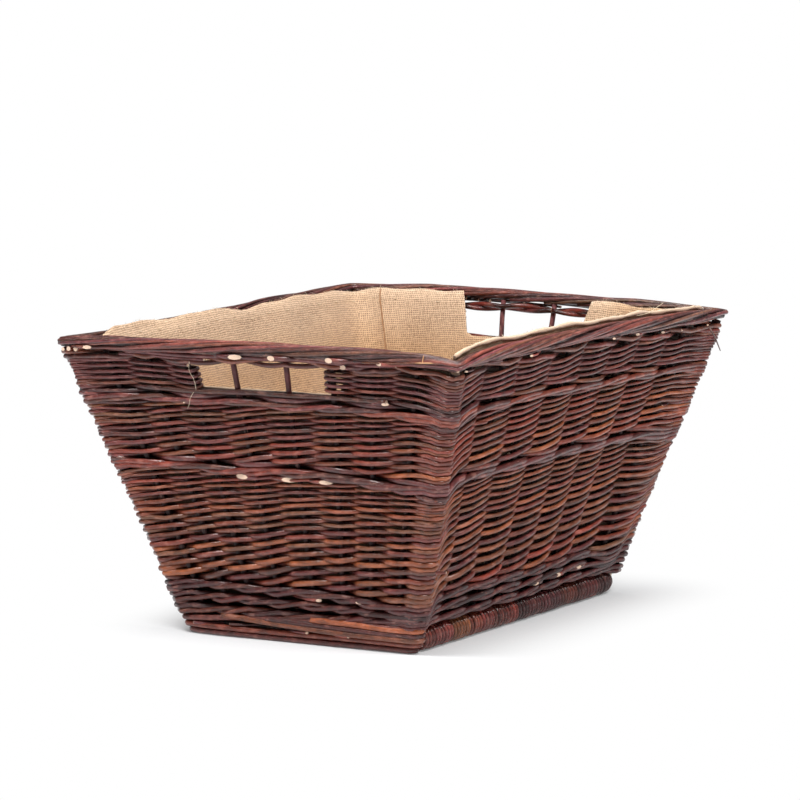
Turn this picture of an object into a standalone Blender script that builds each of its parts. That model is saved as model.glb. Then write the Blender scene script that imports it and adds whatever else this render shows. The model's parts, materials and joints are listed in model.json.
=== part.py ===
"""Large rectangular willow log basket with a stitched-in hessian liner.

X runs across the short ends, which carry the hand holes, Y runs along the basket and Z is up.
The origin lies on the floor under the middle of the basket. All sizes are in metres.
"""

import math

import bmesh
import bpy
from mathutils import Vector

# Driving sizes of the tapered body, over the outside of the weave
foot_width = 0.293
foot_length = 0.428
top_width = 0.502
top_length = 0.583
weave_top = 0.315
corner_radius = 0.011
corner_inner_radius = 0.008
seat_gap = 0.0003

# Heights of the woven bands
lower_wale_height = 0.0355
lower_siding_height = 0.099
middle_wale_height = 0.0155
upper_siding_height = 0.078
handle_wale_height = 0.015
hand_hole_height = 0.0275
weave_depth = 0.018
row_pitch = 0.0062
row_relief = 0.0016

# Hand holes in the two short ends
hand_hole_width = 0.163
hand_edge_cover = 0.0065

# Upright stakes and corner posts
stake_radius = 0.0032
stake_inset = 0.009
post_radius = 0.005
end_inner_stake_share = 0.134
end_outer_stake_shares = (0.569, 0.775)
side_stake_shares = (-0.86, -0.62, -0.375, -0.14, 0.09, 0.285, 0.505, 0.73)

# Pair of rods that bridges the hand holes
pair_rod_radius = 0.0031
pair_rise = 0.0042
pair_corner_radius = 0.0075

# Rolled rod border
border_width = 0.021
border_height = 0.0146
border_overhang = 0.0035
border_corner_radius = 0.010
border_least_radius = 0.0008
border_lobe_share = 0.80
border_lobes = 4
border_turns = 10
border_step = 0.036

# Bound skids under the long sides and rods under the short ends
skid_diameter = 0.028
binding_radius = 0.0048
binding_gap = 0.0013
binding_flat = 0.0005
turn_points = 8
end_rod_radius = 0.0043
end_rod_lift = 0.0006
end_rod_sink = 0.0006
end_rod_start_shares = (-1.0, -0.62, 0.06)

# Base
base_thickness = 0.014
base_stick_radius = 0.0045
base_stick_shares = (-0.76, -0.38, 0.0, 0.38, 0.76)
base_stick_proud = 0.0012

# Hessian liner
liner_thickness = 0.0014
liner_inset = 0.0204
liner_corner_radius = 0.034
liner_floor_gap = 0.0004
liner_edge_height = 0.327
liner_edge_wave = 0.0022
liner_notch_width = 0.166
liner_notch_slope = 0.006
liner_notch_depth = 0.060
liner_fold_depth = 0.0016
liner_folds = 14

overrun = 0.020
corner_steps = 4
liner_corner_steps = 4

# Heights that follow from the sizes above
binding_turn_radius = skid_diameter / 2 - binding_radius
skid_height = skid_diameter / 2 - binding_flat
weave_bottom = skid_height + skid_diameter / 2 + seat_gap
lower_wale_top = weave_bottom + lower_wale_height
lower_siding_top = lower_wale_top + lower_siding_height
middle_wale_top = lower_siding_top + middle_wale_height
upper_siding_top = middle_wale_top + upper_siding_height
handle_wale_top = upper_siding_top + handle_wale_height
panel_top = handle_wale_top + hand_hole_height
base_top = weave_bottom + base_thickness
width_slope = (top_width - foot_width) / 2 / weave_top
length_slope = (top_length - foot_length) / 2 / weave_top
side_lean = math.atan(max(width_slope, length_slope))
corner_lean = math.atan(math.hypot(width_slope, length_slope))

# Direction in which the rods run along each wall
travel = {
    "right": Vector((0, 1, 0)),
    "back": Vector((-1, 0, 0)),
    "left": Vector((0, -1, 0)),
    "front": Vector((1, 0, 0)),
}


def half_width(height):
    """Half the outside width of the weave at a height."""
    return foot_width / 2 + width_slope * height


def half_length(height):
    """Half the outside length of the weave at a height."""
    return foot_length / 2 + length_slope * height


def rounded_outline(half_x, half_y, radius, steps=corner_steps):
    """Corner arcs of a rounded rectangle, counter-clockwise from the +X +Y corner."""
    points = []
    for quarter, (sign_x, sign_y) in enumerate(((1, 1), (-1, 1), (-1, -1), (1, -1))):
        for step in range(steps + 1):
            angle = math.pi / 2 * (quarter + step / steps)
            x = sign_x * (half_x - radius) + radius * math.cos(angle)
            y = sign_y * (half_y - radius) + radius * math.sin(angle)
            points.append((x, y))
    return points


def body_loop(height, inset, radius, steps=corner_steps):
    """Rounded outline of the tapered body at a height, drawn in by an inset."""
    outline = rounded_outline(half_width(height) - inset, half_length(height) - inset, radius, steps)
    return [(x, y, height) for x, y in outline]


def make_material(name, colour, roughness):
    material = bpy.data.materials.new(name)
    material.use_nodes = True
    shader = material.node_tree.nodes["Principled BSDF"]
    shader.inputs["Base Color"].default_value = (*colour, 1.0)
    shader.inputs["Roughness"].default_value = roughness
    shader.inputs["Metallic"].default_value = 0.0
    return material


def make_collection(name):
    collection = bpy.data.collections.new(name)
    bpy.context.scene.collection.children.link(collection)
    return collection


def add_mesh(name, mesh, collection, material=None):
    basket_piece = bpy.data.objects.new(name, mesh)
    collection.objects.link(basket_piece)
    if material is not None:
        mesh.materials.append(material)
    return basket_piece


def loft_mesh(name, loops, ring=False):
    """Skin between loops of equal length: capped at both ends, or joined into a ring."""
    shape = bmesh.new()
    rows = [[shape.verts.new(point) for point in loop] for loop in loops]
    pairs = list(zip(rows, rows[1:]))
    if ring:
        pairs.append((rows[-1], rows[0]))
    for below, above in pairs:
        count = len(below)
        for index in range(count):
            after = (index + 1) % count
            shape.faces.new((below[index], below[after], above[after], above[index]))
    if not ring:
        shape.faces.new(list(reversed(rows[0])))
        shape.faces.new(rows[-1])
    bmesh.ops.recalc_face_normals(shape, faces=shape.faces)
    mesh = bpy.data.meshes.new(name)
    shape.to_mesh(mesh)
    shape.free()
    return mesh


def merge_lofts(name, loop_sets):
    """Several capped lofts, clear of each other, in one mesh."""
    shape = bmesh.new()
    for index, loops in enumerate(loop_sets):
        part_mesh = loft_mesh(f"{name}_{index}", loops)
        shape.from_mesh(part_mesh)
        bpy.data.meshes.remove(part_mesh)
    mesh = bpy.data.meshes.new(name)
    shape.to_mesh(mesh)
    shape.free()
    return mesh


def add_cutter(name, mesh):
    cutter = add_mesh(name, mesh, cutters)
    cutter.hide_render = True
    cutter.display_type = "WIRE"
    return cutter


def cut(target, cutter, operation="DIFFERENCE"):
    modifier = target.modifiers.new(cutter.name, "BOOLEAN")
    modifier.operation = operation
    modifier.solver = "EXACT"
    modifier.object = cutter


def box_mesh(name, low, high):
    """Box between two opposite corners."""
    mesh = bpy.data.meshes.new(name)
    shape = bmesh.new()
    bmesh.ops.create_cube(shape, size=1)
    size = Vector(high) - Vector(low)
    middle = (Vector(high) + Vector(low)) / 2
    bmesh.ops.scale(shape, vec=size, verts=shape.verts)
    bmesh.ops.translate(shape, vec=middle, verts=shape.verts)
    shape.to_mesh(mesh)
    shape.free()
    return mesh


def add_tube(name, points, radius, material, resolution=1, cyclic=False, collection=None):
    """Round rod along points, with closed ends unless it is cyclic."""
    curve = bpy.data.curves.new(name, "CURVE")
    curve.dimensions = "3D"
    curve.bevel_depth = radius
    curve.bevel_resolution = resolution
    curve.use_fill_caps = True
    spline = curve.splines.new("POLY")
    spline.points.add(len(points) - 1)
    for spline_point, place in zip(spline.points, points):
        spline_point.co = (*place, 1)
    spline.use_cyclic_u = cyclic
    spline.use_smooth = True
    rod = bpy.data.objects.new(name, curve)
    (collection or basket).objects.link(rod)
    if material is not None:
        curve.materials.append(material)
    return rod


def mesh_from_tube(rod, material):
    """Turn a tube object into a mesh object of the same name, with welded caps."""
    evaluated = rod.evaluated_get(bpy.context.evaluated_depsgraph_get())
    mesh = bpy.data.meshes.new_from_object(evaluated)
    name = rod.name
    place = rod.matrix_world.copy()
    curve = rod.data
    home = rod.users_collection[0]
    bpy.data.objects.remove(rod)
    bpy.data.curves.remove(curve)
    shape = bmesh.new()
    shape.from_mesh(mesh)
    bmesh.ops.remove_doubles(shape, verts=shape.verts, dist=seat_gap / 10)
    bmesh.ops.recalc_face_normals(shape, faces=shape.faces)
    shape.to_mesh(mesh)
    shape.free()
    mesh.materials.clear()
    piece = add_mesh(name, mesh, home, material)
    piece.matrix_world = place
    return piece


def stake_places():
    """Every stake as a name, the wall it stands in and its share of that wall's half size.

    The stakes come in order round the basket, counter-clockwise from the +X wall.
    """
    edge_height = (handle_wale_top + panel_top) / 2
    edge_share = (hand_hole_width / 2 + hand_edge_cover) / half_width(edge_height)
    end_shares = (end_inner_stake_share, edge_share, *end_outer_stake_shares)
    end_row = [-share for share in reversed(end_shares)] + list(end_shares)
    side_row = list(side_stake_shares)
    places = []
    for wall, row in (("right", side_row), ("back", end_row), ("left", side_row), ("front", end_row)):
        ordered = row if wall in ("right", "front") else list(reversed(row))
        for number, share in enumerate(ordered, start=1):
            places.append((f"{wall}_stake_{number}", wall, share))
    return places


def stake_point(wall, share, height, outward=0.0):
    """Centre of a stake at a height, moved outward from its wall by an amount."""
    x = half_width(height) - stake_inset + outward
    y = half_length(height) - stake_inset + outward
    if wall == "right":
        return Vector((x, share * half_length(height), height))
    if wall == "left":
        return Vector((-x, share * half_length(height), height))
    if wall == "back":
        return Vector((share * half_width(height), y, height))
    return Vector((share * half_width(height), -y, height))


def stake_slot_loops(wall, share):
    """Slot from the inner face of the weave to just past the outer side of a stake."""
    slot_half = stake_radius / math.cos(side_lean) + 2 * seat_gap
    floor_out = slot_half
    mouth_in = weave_depth - stake_inset + overrun / 2
    across = Vector((0, slot_half, 0)) if wall in ("right", "left") else Vector((slot_half, 0, 0))
    loops = []
    for height in (weave_bottom - overrun, weave_top + overrun):
        deep = stake_point(wall, share, height, floor_out)
        mouth = stake_point(wall, share, height, -mouth_in)
        loops.append([deep - across, deep + across, mouth + across, mouth - across])
    return loops


def post_point(sign_x, sign_y, height):
    """Centre of a corner post, tucked into the inner round of the weave's corner."""
    shift = corner_inner_radius - post_radius / math.cos(corner_lean) - seat_gap
    reach = shift / math.sqrt(2)
    x = half_width(height) - weave_depth - corner_inner_radius + reach
    y = half_length(height) - weave_depth - corner_inner_radius + reach
    return (sign_x * x, sign_y * y, height)


def band_loops(bottom, top):
    """Outer skin of a woven band: one soft ridge for each row of rods."""
    rows = max(1, round((top - bottom) / row_pitch))
    loops = []
    for half_row in range(2 * rows + 1):
        height = bottom + (top - bottom) * half_row / (2 * rows)
        inset = 0.0 if half_row % 2 else row_relief
        loops.append(body_loop(height, inset, corner_radius - inset))
    return loops


def add_band(name, bottom, top, material, extra_cutters=()):
    """Woven band round the body, open inside, with a slot for every stake."""
    band = add_mesh(name, loft_mesh(name, band_loops(bottom, top - seat_gap)), basket, material)
    cut(band, cavity_cutter)
    cut(band, slot_cutter)
    for cutter in extra_cutters:
        cut(band, cutter)
    return band


def pair_route(phase):
    """Route of one rod of the pair: outside and inside the stakes by turns.

    The pair half-turns round itself between neighbouring stakes and goes round each corner
    outside the post, one rod above the other.
    """
    height = panel_top + pair_rise + pair_rod_radius + seat_gap
    swing = (stake_radius + pair_rod_radius + seat_gap) / math.cos(side_lean)
    lead = stake_radius + pair_rod_radius
    places = stake_places()
    route = []
    for index, (_, wall, share) in enumerate(places):
        side = 1 if (index + phase) % 2 == 0 else -1
        passing = stake_point(wall, share, height, side * swing)
        if places[index - 1][1] != wall:
            route.append(passing - travel[wall] * lead)
        route.append(passing)
        next_wall, next_share = places[(index + 1) % len(places)][1:]
        rise = Vector((0, 0, side * pair_rise * (1 if index % 2 == 0 else -1)))
        if next_wall == wall:
            middle = (stake_point(wall, share, height) + stake_point(wall, next_share, height)) / 2
            route.append(middle + rise)
        else:
            route.append(passing + travel[wall] * lead)
            corner = ("right", "back", "left", "front").index(wall)
            outline = rounded_outline(half_width(height) - stake_inset, half_length(height) - stake_inset,
                                      pair_corner_radius, 2)
            for x, y in outline[3 * corner:3 * corner + 3]:
                route.append(Vector((x, y, height)) + rise)
    return route


def border_place(quarter, angle, across):
    """Place on the rim within a corner, at an outward distance from the border's middle line."""
    sign_x, sign_y = ((1, 1), (-1, 1), (-1, -1), (1, -1))[quarter % 4]
    radius = max(border_corner_radius - border_width / 2 + across, border_least_radius)
    inset = border_width / 2 - border_overhang - across
    x = sign_x * (half_width(weave_top) - inset - radius) + radius * math.cos(angle)
    y = sign_y * (half_length(weave_top) - inset - radius) + radius * math.sin(angle)
    return Vector((x, y, 0))


def border_stations():
    """Sections of the border in order: corner, angle in it and share of the way to the next corner."""
    stations = []
    for quarter in range(4):
        for step in range(corner_steps + 1):
            stations.append((quarter, math.pi / 2 * (quarter + step / corner_steps), 0.0))
        angle = math.pi / 2 * (quarter + 1)
        run = (border_place(quarter + 1, angle, 0) - border_place(quarter, angle, 0)).length
        pieces = max(1, round(run / border_step))
        stations += [(quarter, angle, piece / pieces) for piece in range(1, pieces)]
    return stations


def border_point(station, across):
    """Place on the rim at a section, at an outward distance from the border's middle line."""
    quarter, angle, share = station
    here = border_place(quarter, angle, across)
    if share == 0:
        return here
    return here.lerp(border_place(quarter + 1, angle, across), share)


def border_loops():
    """Lobed sections that turn round the rim, so that the rolled rods slant along it."""
    stations = border_stations()
    centres = [border_point(station, 0) for station in stations]
    lengths = [0.0]
    for here, following in zip(centres, centres[1:] + centres[:1]):
        lengths.append(lengths[-1] + (following - here).length)
    middle = weave_top + border_height / 2
    loops = []
    for station, travelled in zip(stations, lengths):
        twist = 2 * math.pi * border_turns * travelled / lengths[-1]
        loop = []
        for index in range(2 * border_lobes):
            angle = math.pi * index / border_lobes + twist
            reach = 1.0 if index % 2 == 0 else border_lobe_share
            across = border_width / 2 * reach * math.cos(angle)
            rise = border_height / 2 * reach * math.sin(angle)
            loop.append(border_point(station, across) + Vector((0, 0, middle + rise)))
        loops.append(loop)
    return loops


def binding_route(length):
    """One unbroken winding along Y, entering and leaving along its upper flat."""
    pitch = 2 * binding_radius + binding_gap
    turns = int((length - 2 * binding_radius) / pitch)
    reach = binding_turn_radius / math.cos(math.pi / turn_points)
    points = []
    for index in range(turns * turn_points):
        angle = 2 * math.pi * (index + 0.5) / turn_points
        along = pitch * (index / turn_points - turns / 2)
        points.append(Vector((reach * math.sin(angle), along, reach * math.cos(angle))))
    flat = Vector((2 * points[0].x, pitch / turn_points, 0))
    straight = Vector((2 * binding_radius, 0, 0))
    first = points[0] - flat
    last = points[-1] + flat
    return [first - straight, first] + points + [last, last + straight], pitch, turns


def least_gap(points, diameter):
    """Least gap of a winding to itself, between points more than half a turn apart."""
    least = math.inf
    for index, point in enumerate(points):
        for other in points[index + turn_points // 2 + 1:index + 2 * turn_points + 2]:
            least = min(least, (point - other).length)
    return least - diameter


def add_bands():
    """The wall: wales, siding and the panels beside the hand holes."""
    add_band("lower_wale", weave_bottom, lower_wale_top, willow_dark)
    add_band("lower_siding", lower_wale_top, lower_siding_top, willow_brown)
    add_band("middle_wale", lower_siding_top, middle_wale_top, willow_dark)
    add_band("upper_siding", middle_wale_top, upper_siding_top, willow_brown)
    add_band("handle_wale", upper_siding_top, handle_wale_top, willow_dark)
    for name, sign in (("right", 1), ("left", -1)):
        near = -sign * top_width
        far = sign * hand_hole_width / 2
        low = (min(near, far), -top_length, handle_wale_top - overrun)
        high = (max(near, far), top_length, panel_top + overrun)
        keeper = add_cutter(f"{name}_panel_clearing", box_mesh(f"{name}_panel_clearing", low, high))
        add_band(f"{name}_hand_panel", handle_wale_top, panel_top, willow_brown, (keeper,))


def add_uprights():
    """Stakes in their slots and the four corner posts."""
    for name, wall, share in stake_places():
        foot = stake_point(wall, share, weave_bottom + seat_gap)
        head = stake_point(wall, share, weave_top - seat_gap)
        add_tube(name, (foot, head), stake_radius, willow_dark)
    posts = (("back_right", 1, 1), ("back_left", -1, 1), ("front_left", -1, -1), ("front_right", 1, -1))
    for corner, sign_x, sign_y in posts:
        foot = post_point(sign_x, sign_y, base_top + seat_gap + post_radius * math.sin(corner_lean))
        head = post_point(sign_x, sign_y, weave_top - seat_gap - post_radius * math.sin(corner_lean))
        add_tube(f"{corner}_post", (foot, head), post_radius, willow_dark, resolution=2)


def add_rim():
    """The pair of rods over the hand holes and the rolled border."""
    add_tube("bridge_rod_outer", pair_route(0), pair_rod_radius, willow_brown, cyclic=True)
    add_tube("bridge_rod_inner", pair_route(1), pair_rod_radius, willow_dark, cyclic=True)
    add_mesh("border", loft_mesh("border", border_loops(), ring=True), basket, willow_dark)


def add_base():
    """Lengthwise sticks and the weave that runs across them."""
    loops = []
    for height in (weave_bottom, base_top):
        loops.append(body_loop(height, weave_depth + seat_gap, corner_inner_radius - seat_gap))
    weave = add_mesh("base_weave", loft_mesh("base_weave", loops), basket, willow_brown)
    height = weave_bottom + base_thickness / 2
    reach = half_length(weave_bottom) - weave_depth - seat_gap - base_stick_proud
    span = half_width(weave_bottom) - weave_depth
    for number, share in enumerate(base_stick_shares, start=1):
        ends = (Vector((share * span, -reach, height)), Vector((share * span, reach, height)))
        add_tube(f"base_stick_{number}", ends, base_stick_radius, willow_dark, resolution=2)
        bore_ends = [end + Vector((0, math.copysign(overrun, end.y), 0)) for end in ends]
        bore = add_tube(f"base_stick_bore_{number}", bore_ends, base_stick_radius + seat_gap, None, 2,
                        collection=cutters)
        bore = mesh_from_tube(bore, None)
        bore.hide_render = True
        bore.display_type = "WIRE"
        cut(weave, bore)


def add_feet():
    """Bound skids along the sides and the stacked rods across the ends."""
    skid_x = half_width(skid_height) - skid_diameter / 2
    end_y = half_length(end_rod_lift) - end_rod_radius
    skid_length = 2 * (end_y - end_rod_radius - seat_gap)
    route, pitch, turns = binding_route(skid_length)
    gap = least_gap(route, 2 * binding_radius)
    print(f"binding: {turns} turns at {pitch * 1000:.2f} mm, least gap {gap * 1000:.2f} mm")
    below = box_mesh("floor_cut", (-foot_width, -foot_length, -overrun), (foot_width, foot_length, 0))
    floor_cutter = add_cutter("floor_cut", below)
    stick_radius = binding_turn_radius - binding_radius - seat_gap
    for side, sign in (("right", 1), ("left", -1)):
        centre = Vector((sign * skid_x, 0, skid_height))
        points = [centre + Vector((sign * point.x, point.y, point.z)) for point in route]
        binding = add_tube(f"{side}_skid_binding", points, binding_radius, willow_red)
        binding = mesh_from_tube(binding, willow_red)
        cut(binding, floor_cutter)
        half = Vector((0, skid_length / 2, 0))
        ends = (centre - half, centre + half)
        add_tube(f"{side}_skid_stick", ends, stick_radius, willow_dark, resolution=2)
    for end, sign in (("back", 1), ("front", -1)):
        add_foot_rods(end, sign, skid_x + skid_diameter / 2, end_y)


def add_foot_rods(end, sign, reach, end_y):
    """Stacked rods under one short end, each layer starting further along than the one below."""
    lowest = None
    for layer, start_share in enumerate(end_rod_start_shares):
        rise = end_rod_lift + end_rod_radius + layer * (2 * end_rod_radius - end_rod_sink)
        start = Vector((-sign * start_share * reach, sign * end_y, rise))
        tip = Vector((-sign * reach, sign * end_y, rise))
        home = basket if layer == 0 else cutters
        name = f"{end}_foot_rods" if layer == 0 else f"{end}_foot_rod_{layer + 1}"
        rod = add_tube(name, (start, tip), end_rod_radius, None, 2, collection=home)
        rod = mesh_from_tube(rod, willow_dark)
        if layer == 0:
            lowest = rod
        else:
            rod.hide_render = True
            rod.display_type = "WIRE"
            cut(lowest, rod, "UNION")


def liner_edge(x, y, along_share):
    """Height of the liner's top edge, which dips in a notch at each hand hole."""
    wave = liner_edge_wave * math.sin(2 * math.pi * 5 * along_share)
    on_end = abs(y) > half_length(handle_wale_top) - liner_inset - liner_corner_radius
    if on_end and abs(x) <= liner_notch_width / 2:
        return liner_edge_height - liner_notch_depth
    return liner_edge_height + wave


def liner_marks(height):
    """Outline of the liner at a height: corner arcs, hand-hole notches and plain stretches."""
    half_x = half_width(height) - liner_inset
    half_y = half_length(height) - liner_inset
    corners = rounded_outline(half_x, half_y, liner_corner_radius, liner_corner_steps)
    per_corner = liner_corner_steps + 1
    notch = liner_notch_width / 2
    slope_end = notch + liner_notch_slope
    end_marks = (-slope_end, -notch, -notch / 2, 0.0, notch / 2, notch, slope_end)
    straight_y = half_y - liner_corner_radius
    side_marks = [straight_y * share for share in (-0.75, -0.5, -0.25, 0.0, 0.25, 0.5, 0.75)]
    marks = []
    for quarter in range(4):
        marks += corners[quarter * per_corner:(quarter + 1) * per_corner]
        if quarter == 0:
            marks += [(x, half_y) for x in reversed(end_marks)]
        elif quarter == 1:
            marks += [(-half_x, y) for y in reversed(side_marks)]
        elif quarter == 2:
            marks += [(x, -half_y) for x in end_marks]
        else:
            marks += [(half_x, y) for y in side_marks]
    return marks


def add_liner():
    """Sewn cloth box that hangs from its stitches in soft upright folds."""
    floor = base_top + liner_floor_gap
    levels = (floor, floor + (liner_edge_height - floor) * 0.42, handle_wale_top - liner_notch_slope)
    shape = bmesh.new()
    rows = []
    for level, height in enumerate((*levels, liner_edge_height)):
        marks = liner_marks(height)
        row = []
        for index, (x, y) in enumerate(marks):
            share = index / len(marks)
            z = liner_edge(x, y, share) if level == len(levels) else height
            size = min(half_width(z) - liner_inset, half_length(z) - liner_inset)
            drawn_in = liner_fold_depth * (0.5 - 0.5 * math.cos(2 * math.pi * liner_folds * share))
            drawn_in *= 0.0 if level == 0 else 1.0
            keep = 1 - drawn_in / size
            scale_x = (half_width(z) - liner_inset) / (half_width(height) - liner_inset)
            scale_y = (half_length(z) - liner_inset) / (half_length(height) - liner_inset)
            on_end = abs(y) > half_length(height) - liner_inset - liner_corner_radius
            if on_end and abs(x) <= liner_notch_width / 2 + liner_notch_slope:
                scale_x = 1.0
            row.append(shape.verts.new((x * scale_x * keep, y * scale_y * keep, z)))
        rows.append(row)
    for below, above in zip(rows, rows[1:]):
        for index in range(len(below)):
            after = (index + 1) % len(below)
            shape.faces.new((below[index], below[after], above[after], above[index]))
    shape.faces.new(list(reversed(rows[0])))
    bmesh.ops.recalc_face_normals(shape, faces=shape.faces)
    mesh = bpy.data.meshes.new("liner")
    shape.to_mesh(mesh)
    shape.free()
    liner = add_mesh("liner", mesh, basket, hessian)
    solidify = liner.modifiers.new("cloth_thickness", "SOLIDIFY")
    solidify.thickness = liner_thickness
    solidify.offset = -1.0
    return liner


for old in list(bpy.data.objects):
    bpy.data.objects.remove(old)

basket = make_collection("firewood_basket")
cutters = make_collection("cutters")
willow_dark = make_material("willow_dark", (0.075, 0.028, 0.026), 0.42)
willow_brown = make_material("willow_brown", (0.11, 0.045, 0.035), 0.45)
willow_red = make_material("willow_red", (0.14, 0.042, 0.030), 0.40)
hessian = make_material("hessian", (0.62, 0.44, 0.27), 0.92)

cavity_heights = (weave_bottom - overrun, weave_top + overrun)
cavity_cutter = add_cutter("cavity", loft_mesh("cavity", [
    body_loop(height, weave_depth, corner_inner_radius) for height in cavity_heights]))
slot_cutter = add_cutter("stake_slots", merge_lofts("stake_slots", [
    stake_slot_loops(wall, share) for _, wall, share in stake_places()]))

add_bands()
add_uprights()
add_rim()
add_base()
add_feet()
add_liner()
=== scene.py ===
"""Large willow log basket with a hessian liner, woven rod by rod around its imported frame.

X runs across the short ends with the hand holes, Y along the basket and Z up. Everything is in metres.
"""

import json
import logging
import math
from dataclasses import dataclass, field
from enum import Enum

import bpy
import numpy as np
from mathutils import Matrix, Vector

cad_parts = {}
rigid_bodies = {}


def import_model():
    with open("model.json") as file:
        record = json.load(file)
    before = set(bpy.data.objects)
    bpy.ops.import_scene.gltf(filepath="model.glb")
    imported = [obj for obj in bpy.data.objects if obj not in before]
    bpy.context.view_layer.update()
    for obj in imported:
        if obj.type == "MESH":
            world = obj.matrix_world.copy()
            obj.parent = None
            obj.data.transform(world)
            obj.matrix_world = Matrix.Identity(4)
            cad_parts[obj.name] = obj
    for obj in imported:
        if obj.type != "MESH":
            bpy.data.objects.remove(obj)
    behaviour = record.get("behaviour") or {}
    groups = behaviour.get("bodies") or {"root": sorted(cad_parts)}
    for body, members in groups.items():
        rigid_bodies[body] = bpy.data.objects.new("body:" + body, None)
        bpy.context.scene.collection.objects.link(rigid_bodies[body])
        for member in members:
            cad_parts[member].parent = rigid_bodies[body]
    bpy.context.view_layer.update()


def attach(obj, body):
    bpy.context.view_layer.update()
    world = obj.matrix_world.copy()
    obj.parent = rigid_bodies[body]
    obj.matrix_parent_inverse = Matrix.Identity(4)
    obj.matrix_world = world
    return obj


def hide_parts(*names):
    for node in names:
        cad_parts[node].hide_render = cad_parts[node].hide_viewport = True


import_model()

LOG = logging.getLogger("firewood_basket")
CORNER_EVERY = 9
ANCHORS = 36
STAKES_PER_WALL = 8
STAKES = 4 * STAKES_PER_WALL
UP = np.array([0.0, 0.0, 1.0])
FORWARD = np.array([1.0, 0.0, 0.0])
NORMALS = np.array([[1.0, 0.0], [0.0, 1.0], [-1.0, 0.0], [0.0, -1.0]])
TRAVELS = np.array([[0.0, 1.0], [-1.0, 0.0], [0.0, -1.0], [1.0, 0.0]])

# For each wall, parts of its length that are passed and the rim's height above level there
RIM_SINKS = (
    ((0.0, 0.03, 0.08, 0.15, 0.35, 0.50, 0.65, 0.80, 0.92, 1.0),
     (-0.0080, -0.0045, -0.0010, 0.0, 0.0, -0.0012, -0.0035, -0.0065, -0.0090, -0.0125)),
    ((0.0, 0.12, 0.22, 0.33, 0.55, 0.65, 0.78, 0.90, 1.0),
     (-0.0125, -0.0092, -0.0066, -0.0060, -0.0036, -0.0030, -0.0020, -0.0040, -0.0060)),
    ((0.0, 0.06, 0.35, 0.42, 0.50, 0.85, 0.95, 1.0),
     (-0.0060, -0.0045, -0.0047, -0.0066, -0.0072, -0.0072, -0.0070, -0.0060)),
    ((0.0, 0.03, 0.12, 0.32, 0.45, 0.86, 0.92, 0.97, 1.0),
     (-0.0060, -0.0045, -0.0018, -0.0013, 0.0, 0.0, -0.0012, -0.0045, -0.0080)),
)

# For the corner before each wall, how deep the rows dip there and how far that reaches before and after it
ROW_DIPS = np.array([
    [0.0105, 0.170, 0.034], [0.0090, 0.080, 0.030], [0.0040, 0.030, 0.030], [0.0030, 0.030, 0.030]])

# Shares of the way round and how far the cloth's edge stands above the rim there
EDGE_LIFTS = (
    (0.0, 0.02, 0.12, 0.235, 0.25, 0.262, 0.33, 0.44, 0.487, 0.50,
     0.52, 0.61, 0.634, 0.70, 0.720, 0.732, 0.75, 0.77, 0.98, 1.0),
    (0.0, 0.0034, 0.0028, 0.0016, -0.003, -0.005, -0.005, -0.0040, -0.005, -0.006,
     -0.0035, -0.0030, 0.0016, 0.0032, 0.0028, -0.004, -0.004, -0.006, -0.006, 0.0),
)


class Wall(Enum):
    """The four walls in the order in which a rod runs round the basket, seen from above anticlockwise."""

    RIGHT = 0
    BACK = 1
    LEFT = 2
    FRONT = 3


# Small helpers


def linear(red: int, green: int, blue: int) -> np.ndarray:
    """Scene-linear colour of a screen colour.

    Args:
        red: Screen red from 0 to 255.
        green: Screen green from 0 to 255.
        blue: Screen blue from 0 to 255.

    Returns:
        Three numbers: a share below 0.04045 is divided by 12.92, any other is (share + 0.055) / 1.055 to
        the 2.4.
    """
    share = np.array([red, green, blue], float) / 255.0
    return np.where(share <= 0.04045, share / 12.92, ((share + 0.055) / 1.055) ** 2.4)


def paint(red: int, green: int, blue: int) -> tuple:
    """Scene-linear colour of a screen colour with full alpha, as a colour socket takes it."""
    return (*linear(red, green, blue), 1.0)


def smoothstep(value: np.ndarray) -> np.ndarray:
    """Soft ramp from 0 to 1: the clipped value squared times three less twice the value."""
    held = np.clip(value, 0.0, 1.0)
    return held * held * (3.0 - 2.0 * held)


def change_over(first: np.ndarray, second: np.ndarray, share: np.ndarray) -> np.ndarray:
    """Colours that go from a first to a second one, one row for each share."""
    return first * (1.0 - share[:, None]) + second * share[:, None]


def lengths_along(points: np.ndarray) -> np.ndarray:
    """Distance from the first point of a line to each of them, along the line."""
    return np.concatenate([[0.0], np.cumsum(np.linalg.norm(np.diff(points, axis=0), axis=1))])


def find_cells(marks: np.ndarray, values: np.ndarray) -> tuple:
    """Finds between which marks values lie.

    Args:
        marks: Rising numbers.
        values: Numbers to place among them.

    Returns:
        The number of the mark before each value, and the share of the way from that mark to the next one.
    """
    cell = np.clip(np.searchsorted(marks, values, "right") - 1, 0, len(marks) - 2)
    return cell, np.clip((values - marks[cell]) / (marks[cell + 1] - marks[cell]), 0.0, 1.0)


def bend_round(wall: np.ndarray, local: np.ndarray, straight: np.ndarray, radius: object,
               cross: object) -> tuple:
    """Lays a line along straight walls and round quarter circles between them.

    Args:
        wall: Wall of each place.
        local: Distance of each place from the middle of its wall, along the line.
        straight: Half the straight length of its wall.
        radius: Radius of the line's corner.
        cross: Distance from the basket's middle to the corner's centre, square to the wall.

    Returns:
        The nearest point of the straight line through the corners' centres, and the outward direction,
        which turns by the distance past the straight part over the radius.
    """
    bend = np.clip(np.abs(local) - straight, 0.0, None) * np.sign(local) / radius
    normal = NORMALS[wall] * np.cos(bend)[..., None] + TRAVELS[wall] * np.sin(bend)[..., None]
    along = np.clip(local, -straight, straight)[..., None]
    return NORMALS[wall] * np.asarray(cross)[..., None] + TRAVELS[wall] * along, normal


# Shader maths


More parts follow.
